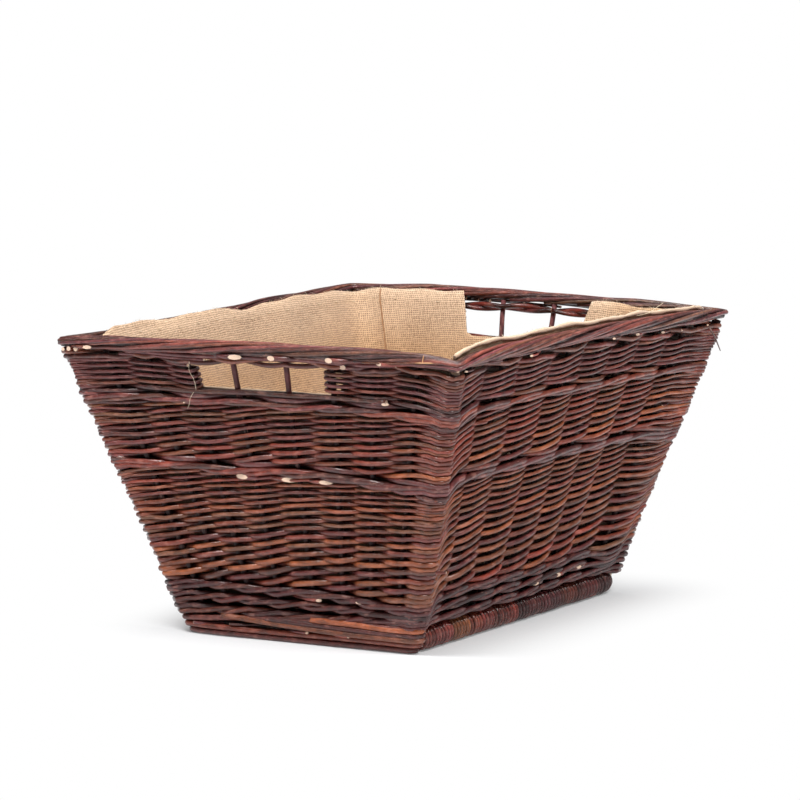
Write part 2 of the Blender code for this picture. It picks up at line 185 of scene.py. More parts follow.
class Signal:
    """One value in a node tree, which adds its Math nodes when it is used in a sum."""

    def __init__(self, shading: "Shading", socket: bpy.types.NodeSocket) -> None:
        """Wraps an output socket of the shading's tree."""
        self.shading = shading
        self.socket = socket

    def combine(self, operation: str, *values: object) -> "Signal":
        """Result of a Math node with that operation on signals or numbers."""
        return self.shading.node("ShaderNodeMath", {"operation": operation}, dict(enumerate(values)))

    def __add__(self, other: object) -> "Signal":
        """Sum with another signal or number."""
        return self.combine("ADD", self, other)

    def __radd__(self, other: object) -> "Signal":
        """Sum of a number and this signal."""
        return self.combine("ADD", other, self)

    def __sub__(self, other: object) -> "Signal":
        """This signal less another."""
        return self.combine("SUBTRACT", self, other)

    def __rsub__(self, other: object) -> "Signal":
        """A number less this signal."""
        return self.combine("SUBTRACT", other, self)

    def __mul__(self, other: object) -> "Signal":
        """Product with another signal or number."""
        return self.combine("MULTIPLY", self, other)

    def __pow__(self, other: object) -> "Signal":
        """This signal to a power."""
        return self.combine("POWER", self, other)

    def sine(self) -> "Signal":
        """Sine of the signal."""
        return self.combine("SINE", self)

    def size(self) -> "Signal":
        """The signal without its sign."""
        return self.combine("ABSOLUTE", self)

    def larger(self, other: object) -> "Signal":
        """The larger of this signal and another."""
        return self.combine("MAXIMUM", self, other)

    def ramp(self, low: float, high: float) -> "Signal":
        """Soft ramp from 0 at low to 1 at high."""
        settings = {"interpolation_type": "SMOOTHSTEP", "clamp": True}
        return self.shading.node("ShaderNodeMapRange", settings,
                                 {"Value": self, "From Min": low, "From Max": high})


class Shading:
    """A material's node tree, built from one generic node method."""

    def __init__(self, name: str) -> None:
        """Starts an empty material.

        Args:
            name: The material's name.
        """
        self.material = bpy.data.materials.new(name)
        self.material.use_nodes = True
        self.tree = self.material.node_tree
        self.tree.nodes.clear()
        self.output = self.tree.nodes.new("ShaderNodeOutputMaterial")

    def node(self, kind: str, settings: dict, inputs: dict, output: object = 0) -> Signal:
        """Adds one node.

        Args:
            kind: The node's type.
            settings: Attributes of the node, set first.
            inputs: Values or signals by the socket's name or number.
            output: Name or number of the output that is wanted.

        Returns:
            That output.
        """
        made = self.tree.nodes.new(kind)
        for key, value in settings.items():
            setattr(made, key, value)
        for key, value in inputs.items():
            if isinstance(value, Signal):
                self.tree.links.new(value.socket, made.inputs[key])
            else:
                made.inputs[key].default_value = value
        return Signal(self, made.outputs[output])

    def split(self, whole: Signal, kind: str = "ShaderNodeSeparateXYZ") -> list:
        """Splits a vector, or a colour with the other kind of node.

        Args:
            whole: The vector or colour.
            kind: The type of the node that splits it.

        Returns:
            Its three parts.
        """
        parts = self.tree.nodes.new(kind)
        self.tree.links.new(whole.socket, parts.inputs[0])
        return [Signal(self, output) for output in parts.outputs]

    def place(self) -> Signal:
        """The place in the object's own coordinates."""
        return self.node("ShaderNodeTexCoord", {}, {}, "Object")

    def attribute(self, name: str, output: str = "Vector") -> Signal:
        """A mesh attribute by name, as a vector, colour or factor."""
        return self.node("ShaderNodeAttribute", {"attribute_name": name}, {}, output)

    def noise(self, where: Signal, scale: float, detail: float = 2.0) -> Signal:
        """Noise from about 0 to 1 at places given by a vector signal."""
        return self.node("ShaderNodeTexNoise", {}, {"Vector": where, "Scale": scale, "Detail": detail}, "Fac")

    def blend(self, factor: object, first: object, second: object, kind: str = "MIX") -> Signal:
        """Mix of two colours by a factor."""
        settings = {"data_type": "RGBA", "blend_type": kind}
        return self.node("ShaderNodeMix", settings, {0: factor, 6: first, 7: second}, 2)

    def times(self, first: object, second: object) -> Signal:
        """Product of two colours."""
        return self.blend(1.0, first, second, "MULTIPLY")

    def grey(self, value: Signal) -> Signal:
        """A number as a colour of three equal parts."""
        return self.node("ShaderNodeCombineColor", {}, {0: value, 1: value, 2: value}, 0)

    def bump(self, strength: float, distance: float, height: Signal) -> Signal:
        """Surface direction for a relief."""
        return self.node("ShaderNodeBump", {}, {"Strength": strength, "Distance": distance, "Height": height})

    def surface(self, inputs: dict) -> bpy.types.Material:
        """Ends the tree in a Principled shader.

        Args:
            inputs: Values or signals by the name of the shader's input.

        Returns:
            The finished material.
        """
        shader = self.node("ShaderNodeBsdfPrincipled", {}, inputs, 0)
        self.tree.links.new(shader.socket, self.output.inputs["Surface"])
        return self.material


@dataclass(frozen=True)
class BarkFinish:
    """Unpeeled willow: own tint, streaked, with pale bloom and painted sheen, leaf scars and a waxy shine."""

    name: str
    roughness: float = 0.32
    streak: float = 0.55
    coat: float = 0.42
    scars: float = 0.72
    slow_reach: float = 0.55
    speck_reach: float = 0.45
    patch_reach: float = 2.4
    patch_stretch: tuple = (0.55, 0.55, 3.4)
    darkest: float = 0.25
    # Pale colour for the light patches, partly bark bloom and partly painted sheen, and its share.
    dust_and_sheen: tuple = (164, 118, 104)
    dust_and_sheen_share: float = 0.34
    weathering: tuple = (1.9, 2.3, 2.4, 1.0)
    weathered_share: float = 0.22
    scar: tuple = (196, 150, 130)
    scar_share: float = 0.65
    shine_tint: tuple = (1.0, 0.98, 0.97, 1.0)

    def make(self) -> bpy.types.Material:
        """Builds the material from the attributes tint and grain, which follow each rod.

        Returns:
            A material whose colour is the rod's tint times one plus streaks, specks and patches, mixed
            towards a pale colour where the patches are light, partly a pale bloom and partly painted
            sheen, and with pale scars where another noise is high. Dark tints, among them the painted
            shade, have no coat.
        """
        shading = Shading(self.name)
        tint = shading.attribute("tint", "Color")
        grain = shading.attribute("grain")
        streaks = shading.noise(grain, 1.6, 4.0)
        fine = shading.noise(grain, 6.0, 3.0)
        slow = shading.noise(grain, 0.30, 1.0)
        speck = shading.noise(grain, 15.0, 2.0)
        stretch = {0: grain, 1: self.patch_stretch}
        stretched = shading.node("ShaderNodeVectorMath", {"operation": "MULTIPLY"}, stretch)
        patches = shading.noise(stretched, 1.0, 4.0)
        level = 1.0 - self.streak * 0.5 + (streaks * 0.65 + fine * 0.35) * self.streak
        level = level + (slow - 0.5) * self.slow_reach + (speck - 0.5) * self.speck_reach
        level = (level + (patches - 0.5) * self.patch_reach).larger(self.darkest)
        coloured = shading.times(tint, shading.grey(level))
        # Partly bloom, partly painted sheen: light patches go towards a pale pinkish colour.
        dust_and_sheen_mixed = shading.blend(patches.ramp(0.55, 0.72) * self.dust_and_sheen_share, coloured, paint(*self.dust_and_sheen))
        blotch = shading.noise(grain, 0.55, 2.0).ramp(0.52, 0.75) * self.weathered_share
        weathered = shading.blend(blotch, dust_and_sheen_mixed, shading.times(tint, self.weathering))
        scar = shading.noise(grain, 3.1, 1.0).ramp(self.scars, self.scars + 0.05) * self.scar_share
        red = shading.split(tint, "ShaderNodeSeparateColor")[0]
        return shading.surface({
            "Base Color": shading.blend(scar, weathered, paint(*self.scar)),
            "Roughness": (fine - 0.5) * 0.30 + self.roughness,
            "Normal": shading.bump(0.8, 0.0006, streaks + fine * 0.6 + speck * 0.35),
            "Coat Weight": red.ramp(0.006, 0.060) * self.coat,
            "Coat Roughness": 0.18,
            "IOR": 1.45,
            "Coat Tint": self.shine_tint,
            "Specular Tint": self.shine_tint,
        })


@dataclass(frozen=True)
class PithFinish:
    """Pale wood of a cut rod end, mottled by fine noise."""

    name: str = "cut_willow"
    dark: tuple = (214, 172, 142)
    light: tuple = (250, 226, 204)

    def make(self) -> bpy.types.Material:
        """Builds the material."""
        shading = Shading(self.name)
        mottle = shading.noise(shading.place(), 900.0, 3.0)
        return shading.surface({
            "Base Color": shading.blend(mottle, paint(*self.dark), paint(*self.light)), "Roughness": 0.62})


@dataclass(frozen=True)
class HessianFinish:
    """Plain-woven jute cloth, seen as two sets of uneven threads with small holes between them."""

    name: str
    pitch: float = 0.0025
    hidden: float = 0.0
    light: tuple = (218, 188, 158)
    dark: tuple = (84, 52, 28)
    # Painted shade: the tint that deepens the inside, the near-black of the hidden outside, and where each
    # applies.
    deeper: tuple = (0.80, 0.70, 0.56, 1.0)
    outside_shade_tint: tuple = (0.22, 0.19, 0.16, 1.0)
    wall_heights: tuple = (0.235, 0.312)
    rim_heights: tuple = (0.312, 0.321)
    hole_heights: tuple = (0.264, 0.272)
    hole_halves: tuple = (0.083, 0.089)
    left_places: tuple = (-0.245, -0.190)
    right_places: tuple = (0.090, 0.150)

    def make(self) -> bpy.types.Material:
        """Builds the material on the cloth's own UV map, which is in metres.

        Returns:
            A material where a thread's height is the size of the sine of its place over the pitch, the
            holes lie where both sets are low, and slubs brighten or darken whole threads. The cloth has
            painted shade below the rim, to the left and to the right, and its holes are darker lower down.
            Where it is hidden, it is painted near black as shade, and only the rim and the hand holes show
            its own colour.
        """
        shading = Shading(self.name)
        where = shading.node("ShaderNodeUVMap", {"uv_map": "cloth"}, {}, "UV")
        sideways, _, upwards = shading.split(shading.place())
        across, along = shading.split(where)[:2]
        wobble = shading.noise(where, 60.0, 2.0) - 0.5
        turn = math.pi / self.pitch
        warp = ((across + wobble * 0.0035) * turn).sine()
        weft = ((along + wobble * 0.0028) * turn).sine()
        over = (warp * weft).ramp(-0.25, 0.25)
        under = 1.0 - over
        height = warp.size() * over + weft.size() * under
        hole = 1.0 - warp.size().larger(weft.size()).ramp(0.12, 0.72)
        warp_place = shading.node("ShaderNodeCombineXYZ", {}, {0: across * 110.0, 1: along * 400.0, 2: 0.0})
        weft_place = shading.node("ShaderNodeCombineXYZ", {}, {0: across * 400.0, 1: along * 110.0, 2: 3.0})
        slubs = shading.noise(warp_place, 1.0, 1.0) * over + shading.noise(weft_place, 1.0, 1.0) * under
        cloud = shading.noise(where, 14.0, 3.0)
        # Painted shade: the inside is darker below the rim, to the left and to the right, and its holes
        # darker low down.
        below = 1.0 - upwards.ramp(*self.wall_heights)
        left = 1.0 - sideways.ramp(*self.left_places)
        right = sideways.ramp(*self.right_places)
        shade = (hole * (below * 0.8 + 1.25) + (0.58 - slubs) * 1.20 + (0.54 - cloud) * 0.50
                 + (1.0 - height) * 0.35).ramp(-0.12, 1.22)
        plain = shading.blend(shade, paint(*self.light), paint(*self.dark))
        depth = (below * 1.05 + left * 0.30).larger(right * 0.80)
        inner = shading.blend(depth, plain, shading.times(plain, self.deeper))
        # Painted shade: the hidden outside is near black except at the rim and the hand holes.
        hole_side = 1.0 - sideways.size().ramp(*self.hole_halves)
        shown = upwards.ramp(*self.rim_heights).larger(upwards.ramp(*self.hole_heights) * hole_side)
        colour = shading.blend((1.0 - shown) * self.hidden, inner, shading.times(plain, self.outside_shade_tint))
        return shading.surface({
            "Base Color": colour,
            "Normal": shading.bump(0.6, 0.0007, height + slubs * 0.6),
            "Roughness": 0.9,
            "Sheen Weight": 0.25,
            "Sheen Roughness": 0.5,
            "Specular IOR Level": 0.2,
        })


@dataclass(frozen=True)
class FluffFinish:
    """Loose jute fibres and thread: one tone, mottled down to a somewhat deeper one."""

    name: str
    tone: tuple
    deepest: float = 0.80

    def make(self) -> bpy.types.Material:
        """Builds the material."""
        shading = Shading(self.name)
        mottle = shading.noise(shading.place(), 420.0, 2.0)
        deep = tuple(int(part * self.deepest) for part in self.tone)
        colour = shading.blend(mottle, paint(*deep), paint(*self.tone))
        return shading.surface({"Base Color": colour, "Roughness": 0.95, "Sheen Weight": 0.3})


class Finishes:
    """The finished materials of the basket, in pairs: a piece's main surface and its ends or outside."""

    def __init__(self) -> None:
        """Makes every material once."""
        pith = PithFinish().make()
        stake = BarkFinish("stake_bark", roughness=0.55, coat=0.0).make()
        self.rods = (BarkFinish("willow_bark").make(), pith)
        self.stakes = (stake, pith)
        self.cores = (stake, stake)
        self.windings = (BarkFinish("bound_willow", roughness=0.28, streak=0.50, coat=0.55).make(), pith)
        # The cloth's outside material is painted near black as shade where it is hidden.
        self.cloth = (HessianFinish("hessian_cloth").make(),
                      HessianFinish("hessian_outside", hidden=1.0).make())
        self.hem = (FluffFinish("hessian_hem", (230, 200, 170)).make(),) * 2
        self.seam = (FluffFinish("hessian_seam", (166, 122, 82)).make(),) * 2
        self.fluff = (FluffFinish("jute_fibre", (236, 214, 180)).make(),) * 2


# Rod colours


class Tone(Enum):
    """Screen colours of the bark that the rods show."""

    PLUM = (90, 42, 44)
    CHESTNUT = (114, 52, 38)
    UMBER = (104, 58, 38)
    RUSSET = (126, 52, 42)
    TAN = (144, 84, 52)
    OLIVE = (104, 74, 56)
    SHADE = (60, 28, 27)

    def light(self) -> np.ndarray:
        """The tone as a scene-linear colour."""
        return linear(*self.value)


@dataclass(frozen=True)
class Mixture:
    """How often each tone comes up in one band of weave."""

    chances: dict
    warmth: tuple = (1.0, 0.98, 0.98)

    def pick(self, rng: np.random.Generator) -> np.ndarray:
        """Draws one rod's colour.

        Args:
            rng: The band's own random numbers.

        Returns:
            Scene-linear colour: a drawn tone pulled part of the way to a second one, a little lighter or
            darker.
        """
        tones = list(self.chances)
        picked = rng.choice(len(tones), 2, p=list(self.chances.values()))
        first, second = (tones[index].light() for index in picked)
        pull = rng.uniform(0.0, 0.4)
        return (first * (1.0 - pull) + second * pull) * rng.uniform(0.80, 1.26) * np.array(self.warmth)

    def fade(self, rng: np.random.Generator, share: np.ndarray, most: float) -> np.ndarray:
        """Draws a rod's two colours.

        Args:
            rng: The band's own random numbers.
            share: Shares of the rod's length.
            most: How far the rod's colour has gone from the first to the second at its tip.

        Returns:
            Its colour at each share.
        """
        first, second = self.pick(rng), self.pick(rng)
        return change_over(first, second, most * share)


WALE_MIX = Mixture(
    {Tone.PLUM: 0.46, Tone.CHESTNUT: 0.20, Tone.RUSSET: 0.12, Tone.SHADE: 0.12, Tone.UMBER: 0.10},
    (1.06, 0.95, 0.90))
LOW_MIX = Mixture(
    {Tone.PLUM: 0.48, Tone.CHESTNUT: 0.20, Tone.SHADE: 0.22, Tone.UMBER: 0.10}, (0.68, 0.48, 0.46))
SIDING_MIX = Mixture(
    {Tone.PLUM: 0.25, Tone.CHESTNUT: 0.29, Tone.UMBER: 0.25, Tone.RUSSET: 0.06, Tone.TAN: 0.05,
     Tone.OLIVE: 0.07, Tone.SHADE: 0.03}, (1.17, 1.00, 0.86))
PANEL_MIX = Mixture(
    {Tone.PLUM: 0.46, Tone.CHESTNUT: 0.24, Tone.SHADE: 0.14, Tone.UMBER: 0.16}, (1.16, 1.02, 0.92))
BORDER_MIX = Mixture(
    {Tone.PLUM: 0.58, Tone.CHESTNUT: 0.16, Tone.UMBER: 0.12, Tone.RUSSET: 0.04, Tone.OLIVE: 0.10})
BOUND_MIX = Mixture(
    {Tone.PLUM: 0.34, Tone.RUSSET: 0.20, Tone.CHESTNUT: 0.26, Tone.TAN: 0.08, Tone.SHADE: 0.12})


# Rods and cloth as meshes


def smooth_route(points: np.ndarray, spacing: float) -> np.ndarray:
    """Even points along a smooth curve through given ones.

    Args:
        points: Places to pass through, one row each.
        spacing: Distance between the new points.

    Returns:
        Points of the cubic whose slope at each place is the change between its neighbours over their
        distance.
    """
    points = np.asarray(points, float)
    runs = lengths_along(points)
    slopes = np.gradient(points, runs, axis=0)
    where = np.linspace(0.0, runs[-1], max(3, int(runs[-1] / spacing) + 2))
    cell, share = find_cells(runs, where)
    length = (runs[cell + 1] - runs[cell])[:, None]
    share = share[:, None]
    square, cube = share**2, share**3
    return ((2 * cube - 3 * square + 1) * points[cell] + (cube - 2 * square + share) * length * slopes[cell]
            + (3 * square - 2 * cube) * points[cell + 1] + (cube - square) * length * slopes[cell + 1])


def fill_mesh(name: str, places: np.ndarray, faces: list, smooth: bool = True) -> bpy.types.Mesh:
    """Mesh from whole arrays of corners.

    Args:
        name: The mesh's name.
        places: Vertex places, one row each.
        faces: Arrays of vertex numbers, all faces of one array having the same number of corners.
        smooth: Whether the faces are shaded smooth.

    Returns:
        The mesh.
    """
    mesh = bpy.data.meshes.new(name)
    corners = np.concatenate([block.ravel() for block in faces])
    totals = np.concatenate([np.full(len(block), block.shape[1]) for block in faces])
    mesh.vertices.add(len(places))
    mesh.vertices.foreach_set("co", np.asarray(places, np.float32).ravel())
    mesh.loops.add(len(corners))
    mesh.loops.foreach_set("vertex_index", corners.astype(np.int32))
    mesh.polygons.add(len(totals))
    mesh.polygons.foreach_set("loop_start", np.concatenate([[0], np.cumsum(totals)[:-1]]).astype(np.int32))
    mesh.polygons.foreach_set("use_smooth", np.full(len(totals), smooth))
    mesh.update(calc_edges=True)
    mesh.validate()
    return mesh


def add_piece(name: str, mesh: bpy.types.Mesh, materials: tuple,
              nodes: tuple = ()) -> bpy.types.Object:
    """Puts a finished mesh into the scene as a piece that rides on the basket.

    Args:
        name: The piece's name.
        mesh: Its mesh, already in place.
        materials: Its materials in slot order.
        nodes: The CAD nodes that it stands for.

    Returns:
        The new object.
    """
    for material in materials:
        mesh.materials.append(material)
    piece = bpy.data.objects.new(name, mesh)
    bpy.context.scene.collection.objects.link(piece)
    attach(piece, "root")
    if nodes:
        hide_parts(*nodes)
    LOG.info("%s: %d faces, stands for %d nodes", name, len(mesh.polygons), len(nodes))
    return piece


@dataclass
class RodBundle:
    """Round rods of one piece, kept as arrays until they become a mesh."""

    sides: int = 8
    flank_shade: float = 0.0
    places: list = field(default_factory=list)
    tints: list = field(default_factory=list)
    grains: list = field(default_factory=list)
    quads: list = field(default_factory=list)
    caps: list = field(default_factory=list)
    count: int = 0

    def lay(self, path: np.ndarray, radius: object, facing: np.ndarray, tint: np.ndarray,
            slant_end: object = None) -> None:
        """Adds one rod: a round section carried along a path.

        Each section is the path's point plus the radius times (the facing direction made square to the
        path, times the cosine, plus the direction square to both, times the sine). A slanting cut moves
        the last section along the path by its own reach in the slant's direction. The flanks carry
        painted shade: their colour is darker by the flank shade's share, as shade in the grooves between
        rods.

        Args:
            path: Centre line, one row for each section.
            radius: One radius, or one for each section.
            facing: One direction, or one for each section, where the section starts.
            tint: One colour, or one for each section.
            slant_end: Vector towards which the cut at the end looks, its length being the cut's steepness.
        """
        count = len(path)
        radius = np.broadcast_to(np.asarray(radius, float), (count,))
        facing = np.broadcast_to(np.asarray(facing, float), (count, 3))
        tint = np.broadcast_to(np.asarray(tint, float), (count, 3))
        if slant_end is not None:
            reach = 1.2 * radius[-1] * float(np.linalg.norm(slant_end))
            kept = np.linalg.norm(path - path[-1], axis=1) > reach
            kept[-1] = True
            path, radius, facing, tint = path[kept], radius[kept], facing[kept], tint[kept]
            count = len(path)
        along = np.gradient(path, axis=0)
        along /= np.linalg.norm(along, axis=1)[:, None]
        first = facing - (facing * along).sum(1)[:, None] * along
        first /= np.linalg.norm(first, axis=1)[:, None]
        second = np.cross(along, first)
        angle = np.linspace(0.0, 2.0 * math.pi, self.sides, endpoint=False)
        reach = first[:, None] * np.cos(angle)[None, :, None] + second[:, None] * np.sin(angle)[None, :, None]
        reach = reach * radius[:, None, None]
        rings = path[:, None] + reach
        if slant_end is not None:
            rings[-1] -= along[-1] * (reach[-1] @ np.asarray(slant_end))[:, None]
        grain = np.empty((count, self.sides, 3))
        grain[..., 0] = 1.1 * np.cos(angle)
        grain[..., 1] = 1.1 * np.sin(angle)
        grain[..., 2] = (lengths_along(path) * 30.0 + len(self.places) * 7.31)[:, None]
        number = self.count + np.arange(count * self.sides).reshape(count, self.sides)
        after = np.roll(number, -1, axis=1)
        quads = np.stack([number[:-1], after[:-1], after[1:], number[1:]], axis=-1).reshape(-1, 4)
        # Painted shade: each section's sides are darkened, as shade in the grooves between rods.
        flank = 1.0 - self.flank_shade * np.sin(angle) ** 2
        self.places.append(rings.reshape(-1, 3))
        self.tints.append((tint[:, None] * flank[None, :, None]).reshape(-1, 3))
        self.grains.append(grain.reshape(-1, 3))
        self.quads.append(quads)
        self.caps.append(np.stack([number[0][::-1], number[-1]]))
        self.count += count * self.sides

    def finish(self, name: str, materials: tuple, slot: str, nodes: tuple = ()) -> bpy.types.Object:
        """Makes the rods one piece.

        Args:
            name: The piece's name.
            materials: Materials of the rods' skin and of their cut ends.
            slot: The record's material slot; not used.
            nodes: The CAD nodes that the piece stands for.

        Returns:
            The new object.
        """
        quads, caps = np.concatenate(self.quads), np.concatenate(self.caps)
        mesh = fill_mesh(name, np.concatenate(self.places), [quads, caps])
        skins = np.repeat([0, 1], [len(quads), len(caps)])
        mesh.polygons.foreach_set("material_index", skins.astype(np.int32))
        mesh.polygons.foreach_set("use_smooth", skins == 0)
        colours = np.concatenate(self.tints)
        opaque = np.hstack([colours, np.ones((len(colours), 1))])
        tint = mesh.attributes.new("tint", "FLOAT_COLOR", "POINT")
        tint.data.foreach_set("color", opaque.astype(np.float32).ravel())
        grain = mesh.attributes.new("grain", "FLOAT_VECTOR", "POINT")
        grain.data.foreach_set("vector", np.concatenate(self.grains).astype(np.float32).ravel())
        return add_piece(name, mesh, materials, nodes)


# The basket's body


@dataclass(frozen=True)
class Wander:
    """Smooth wobble round the basket: a sum of sines with whole waves per round, turned by height."""

    seed: int
    reach: float
    waves: tuple
    rise: float

    def __call__(self, share: np.ndarray, height: object) -> np.ndarray:
        """Wobble at shares of the way round and at heights.

        Args:
            share: Shares of the way round.
            height: Height of each place.

        Returns:
            The reach times the sum of all waves over the root of their number, in metres.
        """
        rng = np.random.default_rng(self.seed)
        total = np.zeros(np.broadcast(share, height).shape)
        for wave in self.waves:
            turn, lean = rng.uniform(0.0, 2.0 * math.pi), rng.uniform(-1.0, 1.0)
            total = total + np.sin(2.0 * math.pi * (wave * share + lean * height / self.rise) + turn)
        return self.reach * total / math.sqrt(len(self.waves))


@dataclass(frozen=True)
class BasketBody:
    """Sizes of the tapered body, the places of its stakes and how its weave departs from level."""

    foot_width: float = 0.293
    foot_length: float = 0.428
    top_width: float = 0.502
    top_length: float = 0.583
    weave_top: float = 0.315
    weave_bottom: float = 0.0278
    corner_radius: float = 0.011
    stake_inset: float = 0.009
    stake_radius: float = 0.0032
    hand_hole_half: float = 0.0815
    hand_edge_cover: float = 0.0065
    hand_edge_height: float = 0.28455
    end_shares: tuple = (0.134, 0.569, 0.775)
    side_shares: tuple = (-0.86, -0.62, -0.375, -0.14, 0.09, 0.285, 0.505, 0.73)
    set_back: float = 0.0035
    set_back_start: float = 0.002
    set_back_ramp: float = 0.013
    set_back_top: float = 0.310
    foot_drops: tuple = (0.0, 0.0, -0.006, -0.006)
    foot_drop_height: float = 0.045
    dip_start: float = 0.006
    dip_height: float = 0.030
    sink_from: float = 0.15

    def half_width(self, height: object) -> object:
        """Half the outside width at a height, straight from foot to top."""
        return self.foot_width / 2 + (self.top_width - self.foot_width) / 2 / self.weave_top * height

    def half_length(self, height: object) -> object:
        """Half the outside length at a height, straight from foot to top."""
        return self.foot_length / 2 + (self.top_length - self.foot_length) / 2 / self.weave_top * height

    def halves(self, wall: object, height: object) -> tuple:
        """Half sizes along and across walls.

        Args:
            wall: Number of the wall, or of each wall.
            height: Height of each place.

        Returns:
            Half the size along which the wall's rods run, and half the size square to it.
        """
        width, length = self.half_width(height), self.half_length(height)
        along_y = np.asarray(wall) % 2 == 0
        return np.where(along_y, length, width), np.where(along_y, width, length)

    def shares_along(self, wall: int) -> np.ndarray:
        """Finds the places of a wall's eight stakes in the running direction.

        Args:
            wall: Number of the wall.

        Returns:
            Shares of its half size.
        """
        if wall % 2 == 0:
            shares = np.array(self.side_shares)
            return shares if wall == Wall.RIGHT.value else -shares[::-1]
        edge = (self.hand_hole_half + self.hand_edge_cover) / self.half_width(self.hand_edge_height)
        near = np.array([self.end_shares[0], edge, *self.end_shares[1:]])
        return np.concatenate([-near[::-1], near])

    def spans(self, height: object) -> tuple:
        """Measures the round at each height.

        Args:
            height: Each height.

        Returns:
            The length of each wall with half a corner at both ends, and the corner's radius.
        """
        radius = self.corner_radius - self.stake_inset
        height = np.asarray(height, float)
        straight = [2 * (self.halves(wall, height)[0] - self.stake_inset - radius) for wall in range(4)]
        return np.array(straight) + math.pi / 2 * radius, radius

    def ring(self, run: np.ndarray, height: object, out: object) -> tuple:
        """Places on the round of stakes at a height, moved outwards.

        The round is four straight walls joined by quarter circles. Between its corners a wall stands back.

        Args:
            run: Distances along the round from the middle of the front right corner.
            height: Height of each place, whose sizes hold.
            out: Distance outwards from the round.

        Returns:
            Places as x and y, and the outward directions.
        """
        run, height = np.broadcast_arrays(run, height)
        spans, radius = self.spans(height)
        ends = np.cumsum(spans, axis=0)
        run = np.mod(run, ends[-1])
        wall = (run[None] >= ends[:3]).sum(axis=0)
        place = np.arange(len(run))
        own, end = spans[wall, place], ends[wall, place]
        local = run - end + own / 2
        straight = own / 2 - math.pi / 4 * radius
        cross = self.halves(wall, height)[1] - self.stake_inset - radius
        base, normal = bend_round(wall, local, straight, radius, cross)
        edge = straight - np.abs(local) - self.set_back_start
        behind = self.set_back * smoothstep(edge / self.set_back_ramp)
        return base + normal * (radius - behind + np.broadcast_to(out, run.shape))[:, None], normal

    def anchor_runs(self, number: object, height: object) -> np.ndarray:
        """Runs of corner posts, stakes and places between them at given heights.

        Args:
            number: Anchor numbers: 0, 9, 18 and 27 are the corners, and a half is midway between two anchors.
            height: Height of each place.

        Returns:
            Distances along the round at that height, going on past a full round.
        """
        number, height = np.broadcast_arrays(np.asarray(number, float), np.asarray(height, float))
        low = np.floor(number).astype(int)
        part = number - low
        spans, _ = self.spans(height)
        starts = np.cumsum(spans, axis=0) - spans
        table = np.concatenate([np.concatenate([[0.0], self.shares_along(wall)]) for wall in range(4)])
        runs = []
        for anchor in (low, low + 1):
            lap, within = np.divmod(anchor, ANCHORS)
            wall = within // CORNER_EVERY
            place = tuple(np.indices(wall.shape))
            stake = spans[(wall, *place)] / 2 + table[within] * self.halves(wall, height)[0]
            stake = np.where(within % CORNER_EVERY == 0, 0.0, stake)
            runs.append(starts[(wall, *place)] + stake + lap * spans.sum(axis=0))
        return runs[0] * (1.0 - part) + runs[1] * part

    def round_length(self, height: object) -> object:
        """Length of the whole round at each height."""
        return self.spans(height)[0].sum(axis=0)

    def settle(self, share: np.ndarray, height: object) -> np.ndarray:
        """How far the hand-made body departs from level at a place.

        The rim sinks by its table, fading out below mid height. Below it the rows dip at each corner by a
        soft ramp over that corner's reach on both sides. The foot of the left wall stands lower, up to
        the lowest band's top.

        Args:
            share: Shares of the way round.
            height: Level heights.

        Returns:
            The real height of each place.
        """
        spans, _ = self.spans(self.weave_top)
        ends = np.cumsum(spans) / spans.sum()
        share = np.mod(share, 1.0)
        wall = np.clip(np.searchsorted(ends, share, "right"), 0, 3)
        part = (share - (ends[wall] - spans[wall] / spans.sum())) * spans.sum() / spans[wall]
        after = (wall + 1) % 4
        feet = np.array(self.foot_drops)
        rim = np.zeros(np.shape(part))
        for index, (parts, sinks) in enumerate(RIM_SINKS):
            rim = np.where(wall == index, np.interp(part, parts, sinks), rim)
        foot = feet[wall] * (1 - part) + feet[after] * part
        past = part * spans[wall] - self.dip_start
        left = (1.0 - part) * spans[wall] - self.dip_start
        dip = ROW_DIPS[wall, 0] * (1.0 - smoothstep(past / ROW_DIPS[wall, 2]))
        dip = dip + ROW_DIPS[after, 0] * (1.0 - smoothstep(left / ROW_DIPS[after, 1]))
        high = smoothstep((height - self.sink_from) / (self.weave_top - self.sink_from))
        above = height - self.weave_bottom
        woven = smoothstep(above / self.dip_height) * (1.0 - high)
        low = np.clip(1.0 - above / self.foot_drop_height, 0.0, 1.0)
        return height + rim * high - dip * woven + foot * low

    def wall_point(self, wall: int, along: float, height: float, out: float) -> np.ndarray:
        """Place on one flat wall.

        Args:
            wall: Number of the wall.
            along: Distance from the wall's middle in the running direction.
            height: Height of the place.
            out: Distance outwards from the plane of the wall's stakes.

        Returns:
            The place.
        """
        own, cross = self.halves(wall, height)
        edge = own - self.corner_radius - abs(along)
        woven = self.weave_bottom < height < self.set_back_top
        behind = self.set_back * float(smoothstep(edge / self.set_back_ramp)) * woven
        flat = NORMALS[wall] * (cross - self.stake_inset - behind + out) + TRAVELS[wall] * along
        return np.array([*flat, height])

    def stake_route(self, anchor: int, heights: np.ndarray) -> np.ndarray:
        """Centre line of a stake or corner post.

        Args:
            anchor: Its number, counted with the corners.
            heights: Level heights to pass through.

        Returns:
            One place for each height.
        """
        inset = self.stake_inset - self.corner_radius if anchor % CORNER_EVERY == 0 else 0.0
        rows = []
        for height in heights.tolist():
            run = self.anchor_runs(np.array([anchor]), height)
            flat, _ = self.ring(run, height, inset)
            rows.append([*flat[0], self.settle(run / self.round_length(height), height)[0]])
        return np.array(rows)


# The weave


